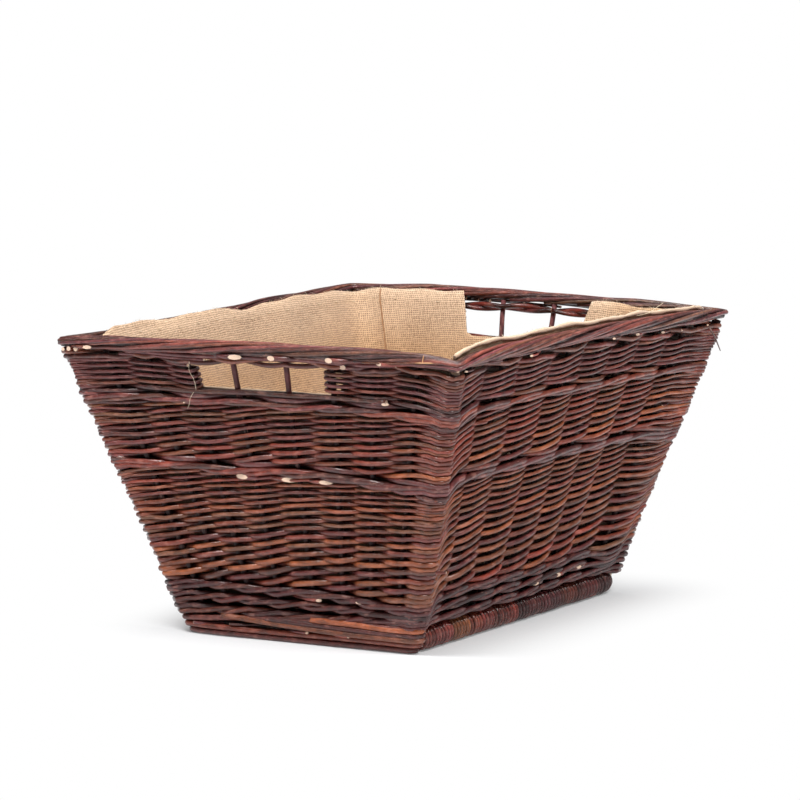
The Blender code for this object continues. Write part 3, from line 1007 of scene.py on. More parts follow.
@dataclass
class Weaver:
    """Lays rods round the stakes of a body."""

    body: BasketBody
    spacing: float = 0.0052
    dive: float = 0.046
    hold_before: float = 0.014
    hold_after: float = 0.003
    end_climb: float = 0.6
    side_climb: float = 1.25
    corner_climb: float = 0.6
    climb_scatter: float = 0.0006
    climb_fade: float = 0.45
    row_scatter: float = 0.0004
    row_taper: tuple = (1.08, 0.92)
    wale_taper: tuple = (1.06, 0.94)
    wale_fade: float = 0.5
    wale_stakes: int = 12
    most_swing: float = 1.15
    clearance: float = 0.0003
    # Painted shade: where a rod's colour is darkest in the wall, over what reach it lightens, how dark and
    # how red.
    deepest: float = -0.0068
    shade_reach: float = 0.0078
    darkest: float = 0.05
    shade_reddening: tuple = (0.85, 1.50, 1.70)
    sway: Wander = Wander(11, 0.0011, (3, 5, 8, 13, 19), 0.09)

    def strand(self, height: float, numbers: np.ndarray, offsets: np.ndarray, rises: np.ndarray,
               slopes: object = 0.0) -> tuple:
        """Route of one rod past a row of anchors.

        Between anchors the distance from the round goes from one offset to the next by a raised cosine
        that takes no longer than the dive. The height goes by the cubic whose slopes at both ends are
        given as shares of the mean slope.

        Args:
            height: Level height of the rod's start.
            numbers: Anchor numbers in running order, the corners among them.
            offsets: Outward distance at each anchor.
            rises: Height above the level at each anchor.
            slopes: Slope of the height at each anchor, as a share of the mean slope beside it.

        Returns:
            The centre line, the outward directions, the runs and the painted shade of each place, a colour
            factor that is near 0 where the rod is deepest in the wall and 1 from its middle outwards, and
            reddest where it is low.
        """
        slopes = np.broadcast_to(slopes, numbers.shape)
        places = self.body.anchor_runs(numbers, height + float(np.mean(rises)))
        _, radius = self.body.spans(height)
        corner = numbers % CORNER_EVERY == 0
        arc = math.pi / 4 * radius
        marks = np.concatenate([places, places[corner] - arc - self.hold_before,
                                places[corner] + arc + self.hold_after])
        order = np.argsort(marks)
        offsets, rises, slopes = (np.concatenate([row, row[corner], row[corner]])[order]
                                  for row in (offsets, rises, slopes))
        marks = marks[order]
        run = np.linspace(marks[0], marks[-1], max(6, int((marks[-1] - marks[0]) / self.spacing)))
        cell, share = find_cells(marks, run)
        sharp = np.maximum(1.0, (marks[cell + 1] - marks[cell]) / self.dive)
        turned = 0.5 - 0.5 * np.cos(math.pi * np.clip((share - 0.5) * sharp + 0.5, 0.0, 1.0))
        out = offsets[cell] + (offsets[cell + 1] - offsets[cell]) * turned
        early, late = slopes[cell], slopes[cell + 1]
        climbed = early * share + (3 - 2 * early - late) * share**2 + (early + late - 2) * share**3
        number = np.interp(run, places, numbers)
        level = height + (rises[cell] + (rises[cell + 1] - rises[cell]) * climbed)
        run = self.body.anchor_runs(number, level)
        part = run / self.body.round_length(level)
        level = level + self.sway(part, height)
        flat, normal = self.body.ring(run, level, out)
        path = np.column_stack([flat, self.body.settle(part, level)])
        # Painted shade: the colour darkens and reddens where the rod lies deep in the wall.
        lit = smoothstep((out - self.deepest) / self.shade_reach)
        shade = (self.darkest + (1.0 - self.darkest) * lit)[:, None] ** np.array(self.shade_reddening)
        return path, np.column_stack([normal, np.zeros(len(run))]), run, shade

    def passed(self, first: int, last: int, period: int, phase: int) -> tuple:
        """Anchors between two stakes, the corners among them, and which of them are passed outside.

        Args:
            first: Number of the first stake, counted without the corners.
            last: Number of the last stake.
            period: Every how many stakes the rod goes inside.
            phase: Number of a stake that it passes inside.

        Returns:
            Anchor numbers, the share of stakes passed at each, and whether each is passed outside.
        """
        stakes = np.arange(first, last + 1)
        numbers = stakes + stakes // STAKES_PER_WALL + 1
        every = np.arange(numbers[0], numbers[-1] + 1)
        count = np.interp(every, numbers, stakes)
        corner = every % CORNER_EVERY == 0
        return every, count, corner | ((np.round(count).astype(int) - phase) % period != 0)

    def swings(self, outside: np.ndarray, thick: float, rng: np.random.Generator) -> np.ndarray:
        """Offsets that lay a rod against the outside or inside of each stake, within the wall."""
        reach = (self.body.stake_radius + thick) * rng.uniform(1.0, self.most_swing, len(outside))
        return np.minimum(np.where(outside, reach, -reach), self.body.stake_inset - thick + self.clearance)

    def half_sine(self, run: np.ndarray, numbers: np.ndarray, level: float) -> tuple:
        """Half a sine between neighbouring stakes, and nothing beside a corner.

        Args:
            run: Distances along the round.
            numbers: Anchor numbers of the stakes that are passed.
            level: Height of the row.

        Returns:
            The sine at each distance, and the number of the cell between two anchors in which it is.
        """
        cell, share = find_cells(self.body.anchor_runs(numbers, level), run)
        corner = numbers % CORNER_EVERY == 0
        return np.sin(math.pi * share) * ~(corner[cell] | corner[cell + 1]), cell

    def climb(self, bundle: RodBundle, band: tuple, steps: np.ndarray, fullness: float, mix: Mixture,
              rng: np.random.Generator) -> None:
        """Fills a band with rods that all start at its foot, one behind each stake, and climb to its top.

        Each rod goes outside and inside the stakes by turns and rises by one step at each stake, more in
        front than behind. It is thick at its foot and thin at its tip, and the steps shrink with it.

        Args:
            bundle: The piece that takes the rods.
            band: Heights of the band's foot and top.
            steps: Rise at each stake.
            fullness: Radius of a rod as a share of its step.
            mix: The rods' colours.
            rng: The band's random numbers.
        """
        count = len(steps)
        marks = np.arange(count + 1)
        levels = np.concatenate([[0.0], np.cumsum(steps)])
        for start in range(STAKES):
            numbers, stakes, outside = self.passed(start, start + count, 2, start)
            rises = np.interp(stakes - start, marks, levels)
            rises = rises + rng.normal(0.0, self.climb_scatter, len(numbers))
            thick = fullness * np.append(steps, steps[-1]) * rng.uniform(0.90, 1.08)
            on_side = np.mod(numbers, 2 * CORNER_EVERY) < CORNER_EVERY
            steeper = np.where(on_side, self.side_climb, self.end_climb)
            slopes = np.where(outside, 1.0 + steeper, 1.0 - steeper)
            slopes[numbers % CORNER_EVERY == 0] = self.corner_climb
            offsets = self.swings(outside, float(thick.mean()), rng)
            path, _, _, shade = self.strand(band[0], numbers, offsets, rises, slopes)
            share = np.linspace(0.0, 1.0, len(path))
            radius = np.interp(share * count, marks, thick)
            bundle.lay(path, radius, UP, mix.fade(rng, share, self.climb_fade) * shade)

    def row(self, bundle: RodBundle, height: float, parity: int, radius: float, mix: Mixture,
            rng: np.random.Generator) -> None:
        """Lays one plain row of four rods: outside and inside the stakes by turns, and outside every corner.

        Args:
            bundle: The piece that takes the rods.
            height: Level height of the row.
            parity: Number of a stake that is passed inside.
            radius: Mean radius of the rods.
            mix: Their colours.
            rng: The band's random numbers.
        """
        for first in range(parity, STAKES + parity, STAKES_PER_WALL):
            numbers, _, outside = self.passed(first, first + STAKES_PER_WALL, 2, first)
            thick = radius * rng.uniform(0.92, 1.10)
            path, _, _, shade = self.strand(height, numbers, self.swings(outside, thick, rng),
                                            rng.normal(0.0, self.row_scatter, len(numbers)))
            bundle.lay(path, thick * np.linspace(*self.row_taper, len(path)), UP, mix.pick(rng) * shade)

    def wale(self, bundle: RodBundle, height: float, radius: float, pitch: float, mix: Mixture,
             rng: np.random.Generator) -> None:
        """Lays one round of a three-rod wale: each rod passes two stakes outside and one inside.

        A rod comes out low, climbs above the two others in front of its two stakes, and goes down again
        inside. The round closes at the back left corner.

        Args:
            bundle: The piece that takes the rods.
            height: Level height of the round's middle.
            radius: Mean radius of the rods.
            pitch: Height between the lower and the upper place of a rod.
            mix: Their colours.
            rng: The band's random numbers.
        """
        seam = STAKES_PER_WALL * 2
        for phase in range(3):
            for first in range(seam + phase, seam + STAKES, self.wale_stakes):
                last = min(first + self.wale_stakes, seam + STAKES + phase)
                numbers, stakes, outside = self.passed(first, last, 3, first)
                thick = radius * rng.uniform(0.90, 1.10)
                rises = np.interp(np.mod(stakes - first, 3.0), (0.0, 0.5, 2.5, 3.0),
                                  (0.0, -pitch / 2, pitch / 2, 0.0))
                rises = rises + rng.normal(0.0, self.row_scatter, len(numbers))
                path, _, _, shade = self.strand(height, numbers, self.swings(outside, thick, rng), rises, 1.0)
                colours = mix.fade(rng, np.linspace(0.0, 1.0, len(path)), self.wale_fade)
                bundle.lay(path, thick * np.linspace(*self.wale_taper, len(path)), UP, colours * shade)


@dataclass(frozen=True)
class Cut:
    """A pale slanting rod end that shows on the outside of a wall.

    It lies so far along the wall and so high, has a radius, heads along the wall or against it, or
    straight out at 0, and stands so far out of the stakes' plane. The last number is the steepness of its
    cut.
    """

    wall: Wall
    along: float
    height: float
    radius: float
    heading: int
    out: float = 0.0084
    steep: float = 2.2


FRONT_CUTS = tuple(Cut(Wall.FRONT, *row) for row in (
    (-0.2405, 0.3100, 0.0021, 0, 0.0098), (-0.2331, 0.3108, 0.0026, 0, 0.0098),
    (-0.2238, 0.3112, 0.0028, 0, 0.0098), (-0.2075, 0.3139, 0.0020, 1, 0.0110),
    (-0.0200, 0.3129, 0.0028, 1, 0.0104, 2.6), (0.0250, 0.3140, 0.0028, -1, 0.0105),
    (0.0960, 0.3155, 0.0028, -1, 0.0105), (0.1080, 0.3083, 0.0026, -1),
    (0.1566, 0.3150, 0.0020, -1, 0.0105), (0.1535, 0.2716, 0.0017, 1),
    (-0.0400, 0.1812, 0.0027, -1, 0.0075, 3.2), (0.0200, 0.1818, 0.0028, 1, 0.0075, 3.2),
    (0.0650, 0.1820, 0.0024, 1, 0.0075, 3.2), (0.0336, 0.0504, 0.0018, 1, 0.0090, 1.5),
    (-0.0976, 0.2588, 0.0010, 1, 0.0085, 0.8), (0.0850, 0.0526, 0.0021, 1, 0.0090, 2.0),
    (0.1360, 0.0492, 0.0017, 1, 0.0090, 1.6), (0.1512, 0.0916, 0.0016, -1, 0.0080, 0.6),
    (-0.1310, 0.0125, 0.0017, -1, 0.0088, 0.8), (-0.0840, 0.0147, 0.0013, -1, 0.0088, 0.8),
    (0.0140, 0.0130, 0.0014, 1, 0.0088, 0.8), (0.0660, 0.0130, 0.0013, 1, 0.0088, 0.8),
))
SIDE_CUTS = tuple(Cut(Wall.RIGHT, *row) for row in (
    (-0.2702, 0.3097, 0.0011, -1, 0.0095, 1.2), (-0.2065, 0.3138, 0.0011, 1, 0.0100, 1.2),
    (-0.1464, 0.3122, 0.0012, -1, 0.0100, 1.2), (0.0291, 0.3109, 0.0012, -1, 0.0100, 1.2),
    (0.0904, 0.3085, 0.0015, -1, 0.0090, 1.2), (0.1496, 0.3042, 0.0014, -1, 0.0090, 1.2),
    (0.1926, 0.3018, 0.0012, -1, 0.0090, 1.2), (0.2159, 0.2708, 0.0012, 1, 0.0090, 1.2),
    (-0.1932, 0.2475, 0.0014, 1, 0.0080, 0.8), (0.0192, 0.0405, 0.0021, -1, 0.0082, 2.2),
    (0.0640, 0.0430, 0.0025, -1, 0.0082, 2.4), (0.1080, 0.0450, 0.0025, -1, 0.0082, 2.4),
    (0.2025, 0.2153, 0.0010, -1, 0.0080, 0.7),
))


@dataclass
class WovenWall:
    """The wall: three wales, two bands of siding and the panels beside the hand holes."""

    weaver: Weaver
    finishes: Finishes
    lower_wale: tuple = (0.0270, 0.0633)
    lower_siding: tuple = (0.0625, 0.1845)
    middle_wale: tuple = (0.1835, 0.1990)
    upper_siding: tuple = (0.1980, 0.2590)
    handle_wale: tuple = (0.2580, 0.2762)
    panel: tuple = (0.2762, 0.3044)
    panel_rows: int = 9
    panel_radius: float = 0.0020
    panel_scatter: float = 0.0003
    panel_slant: float = 0.9
    turn_shade: float = 0.8
    wide_loop_at: int = -3
    wide_loop: float = 0.0035
    fullness: float = 0.60
    low_wale_radius: float = 0.0031
    wale_radius: float = 0.0034
    wale_overlap: float = 1.85
    row_share: float = 0.88
    handle_share: float = 0.85
    free_stakes: tuple = (13, 14, 31, 32)
    post_radius: float = 0.005
    # Painted shade: the near-black rod behind each corner post, and how dark the hidden stakes are.
    shade_post_inset: float = 0.0095
    shade_post_radius: float = 0.0080
    hidden_shade: float = 0.22

    def siding(self, name: str, band: tuple, seed: int, count: int, thinning: float) -> None:
        """Fills a band with climbing rods.

        Args:
            name: The CAD node that the band stands for.
            band: Heights of its foot and top.
            seed: Seed of its random numbers.
            count: How many stakes each rod passes on its way up.
            thinning: Share by which a step is larger than the mean at the foot and smaller at the top.
        """
        rng = np.random.default_rng(seed)
        bundle = RodBundle()
        steps = np.linspace(1.0 + thinning, 1.0 - thinning, count)
        steps *= (band[1] - band[0]) / steps.sum()
        self.weaver.climb(bundle, band, steps, self.fullness, SIDING_MIX, rng)
        bundle.finish(f"{name}_rods", self.finishes.rods, "willow_siding", (name,))

    def waled_band(self, name: str, band: tuple, rounds: int, radius: float, seed: int, rows: int,
                   mix: Mixture = WALE_MIX) -> None:
        """Fills a band with wale rounds and above them with plain rows.

        Args:
            name: The CAD node that the band stands for.
            band: Heights of its foot and top.
            rounds: How many wale rounds it has, each as high as two rows.
            radius: Mean radius of the wale's rods.
            seed: Seed of its random numbers.
            rows: How many plain rows it has.
            mix: Colours of the wale's rods.
        """
        rng = np.random.default_rng(seed)
        bundle = RodBundle()
        step = (band[1] - band[0]) / (2 * rounds + rows)
        for number in range(rounds):
            middle = band[0] + (2 * number + 1) * step
            self.weaver.wale(bundle, middle, radius, self.wale_overlap * step, mix, rng)
        for number in range(rows):
            middle = band[1] - step * (number + 0.5)
            self.weaver.row(bundle, middle, number % 2, radius * self.row_share, WALE_MIX, rng)
        bundle.finish(f"{name}_rods", self.finishes.rods, "willow_wales", (name,))

    def hand_panel(self, name: str, first: int, last: int, seed: int) -> None:
        """Weaves one panel as rods that turn back round the stakes at the hand holes.

        Every row runs from one hole's edge to the other's; at its end the rod goes round the edge stake
        in a half circle and comes back as the next row.

        Args:
            name: The CAD node that the panel stands for.
            first: Stake at the edge of the first hand hole, in running order and counted without corners.
            last: Stake at the edge of the second one.
            seed: Seed of the panel's random numbers.
        """
        rng = np.random.default_rng(seed)
        bundle = RodBundle()
        step = (self.panel[1] - self.panel[0]) / self.panel_rows
        thick = self.panel_radius
        swing = self.weaver.body.stake_radius + thick
        turning = np.linspace(0.0, 1.0, 10)[1:-1]
        route, tints = [], []
        colour = PANEL_MIX.pick(rng)
        for index in range(self.panel_rows):
            numbers, _, outside = self.weaver.passed(first, last, 2, first + index)
            offsets = self.weaver.swings(outside, thick, rng)
            rises = rng.normal(0.0, self.panel_scatter, len(numbers))
            level = self.panel[0] + step * (index + 0.5)
            path, normal, run, shade = self.weaver.strand(float(level), numbers, offsets, rises)
            path[:, 2] += self.slant(run, numbers, outside, level, step)
            forward = index % 2 == 0
            if not forward:
                path, normal, shade, offsets = path[::-1], normal[::-1], shade[::-1], offsets[::-1]
            following = PANEL_MIX.pick(rng)
            route.append(path)
            tints.append(change_over(colour, following, smoothstep(np.linspace(0.0, 1.0, len(path)))) * shade)
            colour = following
            if index < self.panel_rows - 1:
                end = last if forward else first
                way = np.array([*TRAVELS[end // STAKES_PER_WALL % 4], 0.0]) * (1.0 if forward else -1.0)
                across = normal[-1] * offsets[-1]
                angle = math.pi * turning
                wide = swing + self.wide_loop * (end == self.wide_loop_at)
                arc = (path[-1] - across + np.outer(np.cos(angle), across)
                       + np.outer(np.sin(angle), way) * wide)
                arc[:, 2] += step * turning
                route.append(arc)
                # Painted shade: the turn round the edge stake is darker than the row.
                tints.append(np.tile(colour * self.turn_shade, (len(arc), 1)))
        bundle.lay(np.vstack(route), thick, UP, np.vstack(tints))
        bundle.finish(f"{name}_rods", self.finishes.rods, "willow_siding", (name,))

    def slant(self, run: np.ndarray, numbers: np.ndarray, outside: np.ndarray, level: float,
              step: float) -> np.ndarray:
        """Lift of a panel's rod on the long walls, half a sine from stake to stake.

        It goes up after a stake that the rod passes outside and down after one that it passes inside.

        Args:
            run: Distances along the round.
            numbers: The row's anchor numbers.
            outside: Which anchors the rod passes outside.
            level: The row's height.
            step: Height from row to row, by which the rod is lifted at most.

        Returns:
            The lift at each distance, which lets each row change places with the next one midway.
        """
        wave, cell = self.weaver.half_sine(run, numbers, level)
        on_side = np.mod(numbers[cell], 2 * CORNER_EVERY) < CORNER_EVERY
        return wave * step * np.where(outside[cell], self.panel_slant, -self.panel_slant) * on_side

    def uprights(self) -> None:
        """Sets the stakes and corner posts, slightly bent and uneven, with a dark rod behind each post."""
        body = self.weaver.body
        rng = np.random.default_rng(5)
        stakes, posts = RodBundle(), RodBundle(sides=10)
        heights = np.linspace(body.weave_bottom + 0.001, body.weave_top + 0.002, 16)
        for anchor in range(ANCHORS):
            corner = anchor % CORNER_EVERY == 0
            route = body.stake_route(anchor, heights)
            route[1:-1, :2] += rng.normal(0.0, 0.00025, (len(heights) - 2, 2))
            # Painted shade: hidden stakes are darker; only free stakes above the panel's foot keep full
            # colour.
            bare = smoothstep((heights - self.panel[0]) / 0.004) * (anchor in self.free_stakes)
            shade = (self.hidden_shade + (1.0 - self.hidden_shade) * bare)[:, None]
            colour = Tone.PLUM.light() * rng.uniform(0.8, 1.1) * shade
            radius = self.post_radius if corner else body.stake_radius * rng.uniform(0.88, 1.0, len(heights))
            (posts if corner else stakes).lay(route, radius, FORWARD, colour)
            if corner:
                # Painted shade: a near-black rod behind each corner post darkens the gap there.
                inner = route - np.sign(route * [1, 1, 0]) * self.shade_post_inset
                posts.lay(inner[:-2], self.shade_post_radius, FORWARD, Tone.SHADE.light() * 0.2)
        names = tuple(f"{wall.name.lower()}_stake_{number}" for wall in Wall for number in range(1, 9))
        stakes.finish("stakes", self.finishes.stakes, "willow_stakes", names)
        corners = ("back_right_post", "back_left_post", "front_left_post", "front_right_post")
        posts.finish("corner_posts", self.finishes.stakes, "willow_stakes", corners)

    def cut_ends(self) -> None:
        """Lays the short rod ends that come out between the rows with a pale slanting cut."""
        rng = np.random.default_rng(21)
        straight = np.array([0.014, 0.010, 0.005, 0.0])[:, None]
        bends = ((0.038, 0.0120), (0.026, 0.0070), (0.015, 0.0016), (0.007, 0.0001), (0.0, 0.0))
        for name, cuts in (("front_cut_ends", FRONT_CUTS), ("side_cut_ends", SIDE_CUTS)):
            bundle = RodBundle()
            for cut in cuts:
                wall = cut.wall.value
                normal = np.array([*NORMALS[wall], 0.0])
                way = np.array([*TRAVELS[wall], 0.0]) * cut.heading
                tip = self.weaver.body.wall_point(wall, cut.along, cut.height, cut.out)
                if cut.heading == 0:
                    path, slant = tip - normal * straight, normal * 0.01
                else:
                    points = [tip - way * back - normal * deep for back, deep in bends]
                    path, slant = smooth_route(np.array(points), 0.003), normal * cut.steep
                bundle.lay(path, cut.radius, UP, WALE_MIX.pick(rng), slant_end=slant)
            bundle.finish(name, self.finishes.rods, "willow_wales")

    def build(self) -> None:
        """Weaves the wall from the foot up."""
        self.waled_band("lower_wale", self.lower_wale, 3, self.low_wale_radius, 101, 0, LOW_MIX)
        self.siding("lower_siding", self.lower_siding, 202, 28, 0.29)
        self.waled_band("middle_wale", self.middle_wale, 1, self.wale_radius, 303, 1)
        self.siding("upper_siding", self.upper_siding, 404, 16, 0.20)
        self.waled_band("handle_wale", self.handle_wale, 1, self.wale_radius * self.handle_share, 505, 2)
        self.hand_panel("right_hand_panel", -3, 10, 606)
        self.hand_panel("left_hand_panel", 13, 26, 707)
        self.uprights()
        self.cut_ends()


# The rim


@dataclass
class Rim:
    """The pair of rods over the hand holes and the rolled border above it.

    Each core is a near-black rod inside the border that fills its gaps with painted shade: its distance
    outwards, its rise and its radius. Each filler is a rod beside the front hand hole: its height, its
    first and last anchor and its radius.
    """

    weaver: Weaver
    finishes: Finishes
    pair_height: float = 0.3084
    pair_radius: float = 0.0027
    pair_rise: float = 0.0026
    pair_dip: float = 0.0012
    pair_at_corner: float = 0.0052
    pair_taper: tuple = (1.04, 0.94)
    border_middle: float = 0.3218
    half_across: float = 0.0081
    half_high: float = 0.0056
    corner_flatness: float = 0.62
    corner_reach: float = 0.060
    out_middle: float = 0.0020
    corner_outside: float = 0.0098
    corner_inside: float = 0.0022
    highest: float = 0.3295
    rod_radius: float = 0.0023
    rods: int = 50
    rod_length: float = 0.43
    rod_spacing: float = 0.0065
    first_angle: float = 4.05
    last_angle: float = -1.25
    tail: float = 0.22
    tip: float = 0.05
    tip_dive: float = 0.0060
    tail_ramp: float = 0.14
    roll_wave: float = 0.04
    rod_fade: float = 0.4
    # Painted light and shade: softness of the change from wall to wall, brightness on each wall, darker
    # tails.
    light_change: float = 0.01
    wall_lights: tuple = (1.0, 1.30, 1.30, 0.70, 0.70, 1.0, 1.0)
    tail_shade: float = 0.54
    cores: tuple = ((-0.0022, -0.0004, 0.0036), (0.0052, -0.0006, 0.0032))
    fillers: tuple = (
        (0.3128, 28.6, 34.6, 0.0026), (0.3095, 28.4, 30.4, 0.0020), (0.2740, 29.2, 34.4, 0.0026))
    filler_out: float = 0.0056

    def bridge(self) -> None:
        """Lays the pair, whose rods change places between stakes and lie stacked at the corners."""
        rng = np.random.default_rng(31)
        body = self.weaver.body
        before = body.stake_inset - self.pair_radius - 0.0001
        behind = -body.stake_radius - self.pair_radius
        for name, phase in (("bridge_rod_outer", 0), ("bridge_rod_inner", 1)):
            bundle = RodBundle()
            rise = self.pair_rise * (1 - 2 * phase)
            for first, length in ((phase, 10), (10 + phase, 10), (20 + phase, 12)):
                numbers, _, outside = self.weaver.passed(first, first + length, 2, phase)
                corner = numbers % CORNER_EVERY == 0
                offsets = np.where(corner, self.pair_at_corner, np.where(outside, before, behind))
                rises = np.where(corner, rise, np.where(outside, -self.pair_dip, self.pair_dip))
                path, _, run, shade = self.weaver.strand(self.pair_height, numbers, offsets, rises)
                path[:, 2] += self.weaver.half_sine(run, numbers, self.pair_height)[0] * rise
                radius = self.pair_radius * np.linspace(*self.pair_taper, len(path))
                bundle.lay(path, radius, UP, WALE_MIX.pick(rng) * shade)
            bundle.finish(f"{name}_rods", self.finishes.rods, "willow_wales", (name,))

    def rim_place(self, run: np.ndarray, out: np.ndarray) -> tuple:
        """Places on the rim at outward distances from the stakes' round, with tight corners.

        A rod at the outer edge bends round the corner on a radius of its own and one further in on a
        smaller one, which is never less than the least bend.

        Args:
            run: Runs along the stakes' round at the top of the weave.
            out: Outward distances.

        Returns:
            Places as x and y, and the outward directions.
        """
        body = self.weaver.body
        spans, _ = body.spans(body.weave_top)
        ends = np.cumsum(spans)
        run = np.mod(run, ends[-1])
        wall = np.clip(np.searchsorted(ends, run, "right"), 0, 3)
        half_span = spans[wall] / 2
        own, cross = (half - body.stake_inset + out for half in body.halves(wall, body.weave_top))
        outermost = self.out_middle + self.half_across
        bend = np.maximum(self.corner_outside - outermost + out, self.corner_inside)
        straight = own - bend
        reach = (run - ends[wall] + half_span) / half_span * (straight + math.pi / 4 * bend)
        base, normal = bend_round(wall, reach, straight, bend, cross - bend)
        return base + normal * bend[:, None], normal

    def border(self) -> None:
        """Rolls the border: its rods come up inside, cross the top, go down outside and run on below.

        A rod's place is the rim's middle plus the outward direction times the half width times the cosine
        of its angle plus up times the half height times the sine; the angle falls evenly along the rod up
        to its tail, which lies a little lower and dips inwards at its tip. Its colour carries painted light
        and shade: lighter on the right wall, darker on the back and left walls, and darker where a rod
        lies under others, along its tail and at its tip.
        """
        body = self.weaver.body
        rng = np.random.default_rng(41)
        bundle = RodBundle(flank_shade=0.65)
        length = float(body.round_length(body.weave_top))
        ends = np.concatenate([[0.0], np.cumsum(body.spans(body.weave_top)[0])]) / length
        soft = self.light_change
        light_marks = (0.0, soft, ends[1] - soft, ends[1] + soft, ends[3] - soft, ends[3] + soft, 1.0)
        for number in range(self.rods):
            start = length * (number + rng.uniform(-0.35, 0.35)) / self.rods
            reach = self.rod_length * rng.uniform(0.9, 1.1)
            run = np.linspace(start, start - reach, int(reach / self.rod_spacing))
            share = (start - run) / reach
            turned = np.clip(share / (1.0 - self.tail), 0.0, 1.0)
            turned = turned + self.roll_wave * np.sin(2.0 * math.pi * turned)
            angle = self.first_angle + (self.last_angle - self.first_angle) * turned
            angle = angle + rng.uniform(-0.15, 0.15)
            thick = self.rod_radius * rng.uniform(0.82, 1.2)
            size = 1.0 + rng.uniform(-0.30, 0.04)
            tail = smoothstep((share - 1.0 + self.tail) / self.tail_ramp)
            tip = smoothstep((share - 1.0 + self.tip) / self.tip)
            out = self.out_middle + self.half_across * size * np.cos(angle) - self.tip_dive * tip
            part = np.mod(run / length, 1.0)
            near = np.abs(part[:, None] - ends[None]).min(axis=1) * length
            fullness = smoothstep(near / self.corner_reach)
            high = self.half_high * (self.corner_flatness + (1.0 - self.corner_flatness) * fullness)
            rise = self.half_high - high + high * size * np.sin(angle) - rng.uniform(0.0008, 0.0026) * tail
            flat, normal = self.rim_place(run, out)
            level = body.settle(run / length, body.weave_top) - body.weave_top + self.border_middle + rise
            path = np.column_stack([flat, np.minimum(level, self.highest - thick)])
            out_way = np.column_stack([normal * np.cos(angle)[:, None], np.sin(angle)])
            colours = BORDER_MIX.fade(rng, share, self.rod_fade)
            # Painted light and shade: rods under others, tails and tips darker, each wall lit by its own
            # factor.
            under = 0.40 + 0.76 * float(smoothstep((size - 0.68) / 0.26))
            lit = np.interp(part, light_marks, self.wall_lights)
            shaded = self.tail_shade * np.maximum(tip, 0.6 * tail)
            deep = (rng.uniform(0.95, 1.50) * lit - shaded) * under
            bundle.lay(path, thick * (1.1 - 0.3 * share), out_way, colours * deep[:, None])
        # Painted shade: near-black core rods fill the border's gaps.
        for out, rise, thick in self.cores:
            run = np.linspace(0.0, length, 241)[:-1]
            flat, _ = self.rim_place(run, np.full(len(run), out))
            level = body.settle(run / length, body.weave_top) - body.weave_top + self.border_middle + rise
            bundle.lay(np.column_stack([flat, level]), thick, UP, Tone.SHADE.light() * 0.5)
        bundle.finish("border_rods", self.finishes.rods, "willow_wales", ("border",))

    def strays(self) -> None:
        """Lays the thin half-peeled rod and the twigs at two corners, and the rods round the front hand hole.

        The last ones are two close under the front border, over the hand hole, and one along the hole's foot.
        """
        bundle = RodBundle(sides=6)
        peeled = smooth_route(np.array([
            [0.1350, -0.2905, 0.3150], [0.1574, -0.2930, 0.3160], [0.1816, -0.2934, 0.3170],
            [0.2058, -0.2936, 0.3189], [0.2230, -0.2934, 0.3196], [0.2400, -0.2920, 0.3190]]), 0.0035)
        bare = smoothstep((0.011 - np.abs(peeled[:, 0] - 0.212)) / 0.004)
        bundle.lay(peeled, 0.0009, UP, change_over(Tone.UMBER.light(), linear(210, 160, 116), bare))
        twig = smooth_route(np.array([
            [0.2095, -0.2940, 0.3190], [0.2101, -0.2938, 0.3230], [0.2108, -0.2932, 0.3268]]), 0.002)
        bundle.lay(twig, 0.0006, FORWARD, linear(214, 160, 112))
        dry = smooth_route(np.array([
            [0.2510, 0.2400, 0.3030], [0.2480, 0.2600, 0.2890], [0.2420, 0.2860, 0.2690]]), 0.004)
        bundle.lay(dry, np.linspace(0.0012, 0.0006, len(dry)), UP, Tone.UMBER.light() * 0.6)
        rng = np.random.default_rng(35)
        for height, first, last, thick in self.fillers:
            numbers = np.array([first, *np.arange(math.ceil(first), math.floor(last) + 1.0), last])
            out, rises = np.full(len(numbers), self.filler_out), np.zeros(len(numbers))
            path, _, _, _ = self.weaver.strand(height, numbers, out, rises)
            bundle.lay(path, thick, UP, WALE_MIX.pick(rng) * 0.9)
        bundle.finish("stray_twigs", self.finishes.rods, "willow_wales")

    def build(self) -> None:
        """Builds the pair, the border and the stray twigs."""
        self.bridge()
        self.border()
        self.strays()


# Base and feet


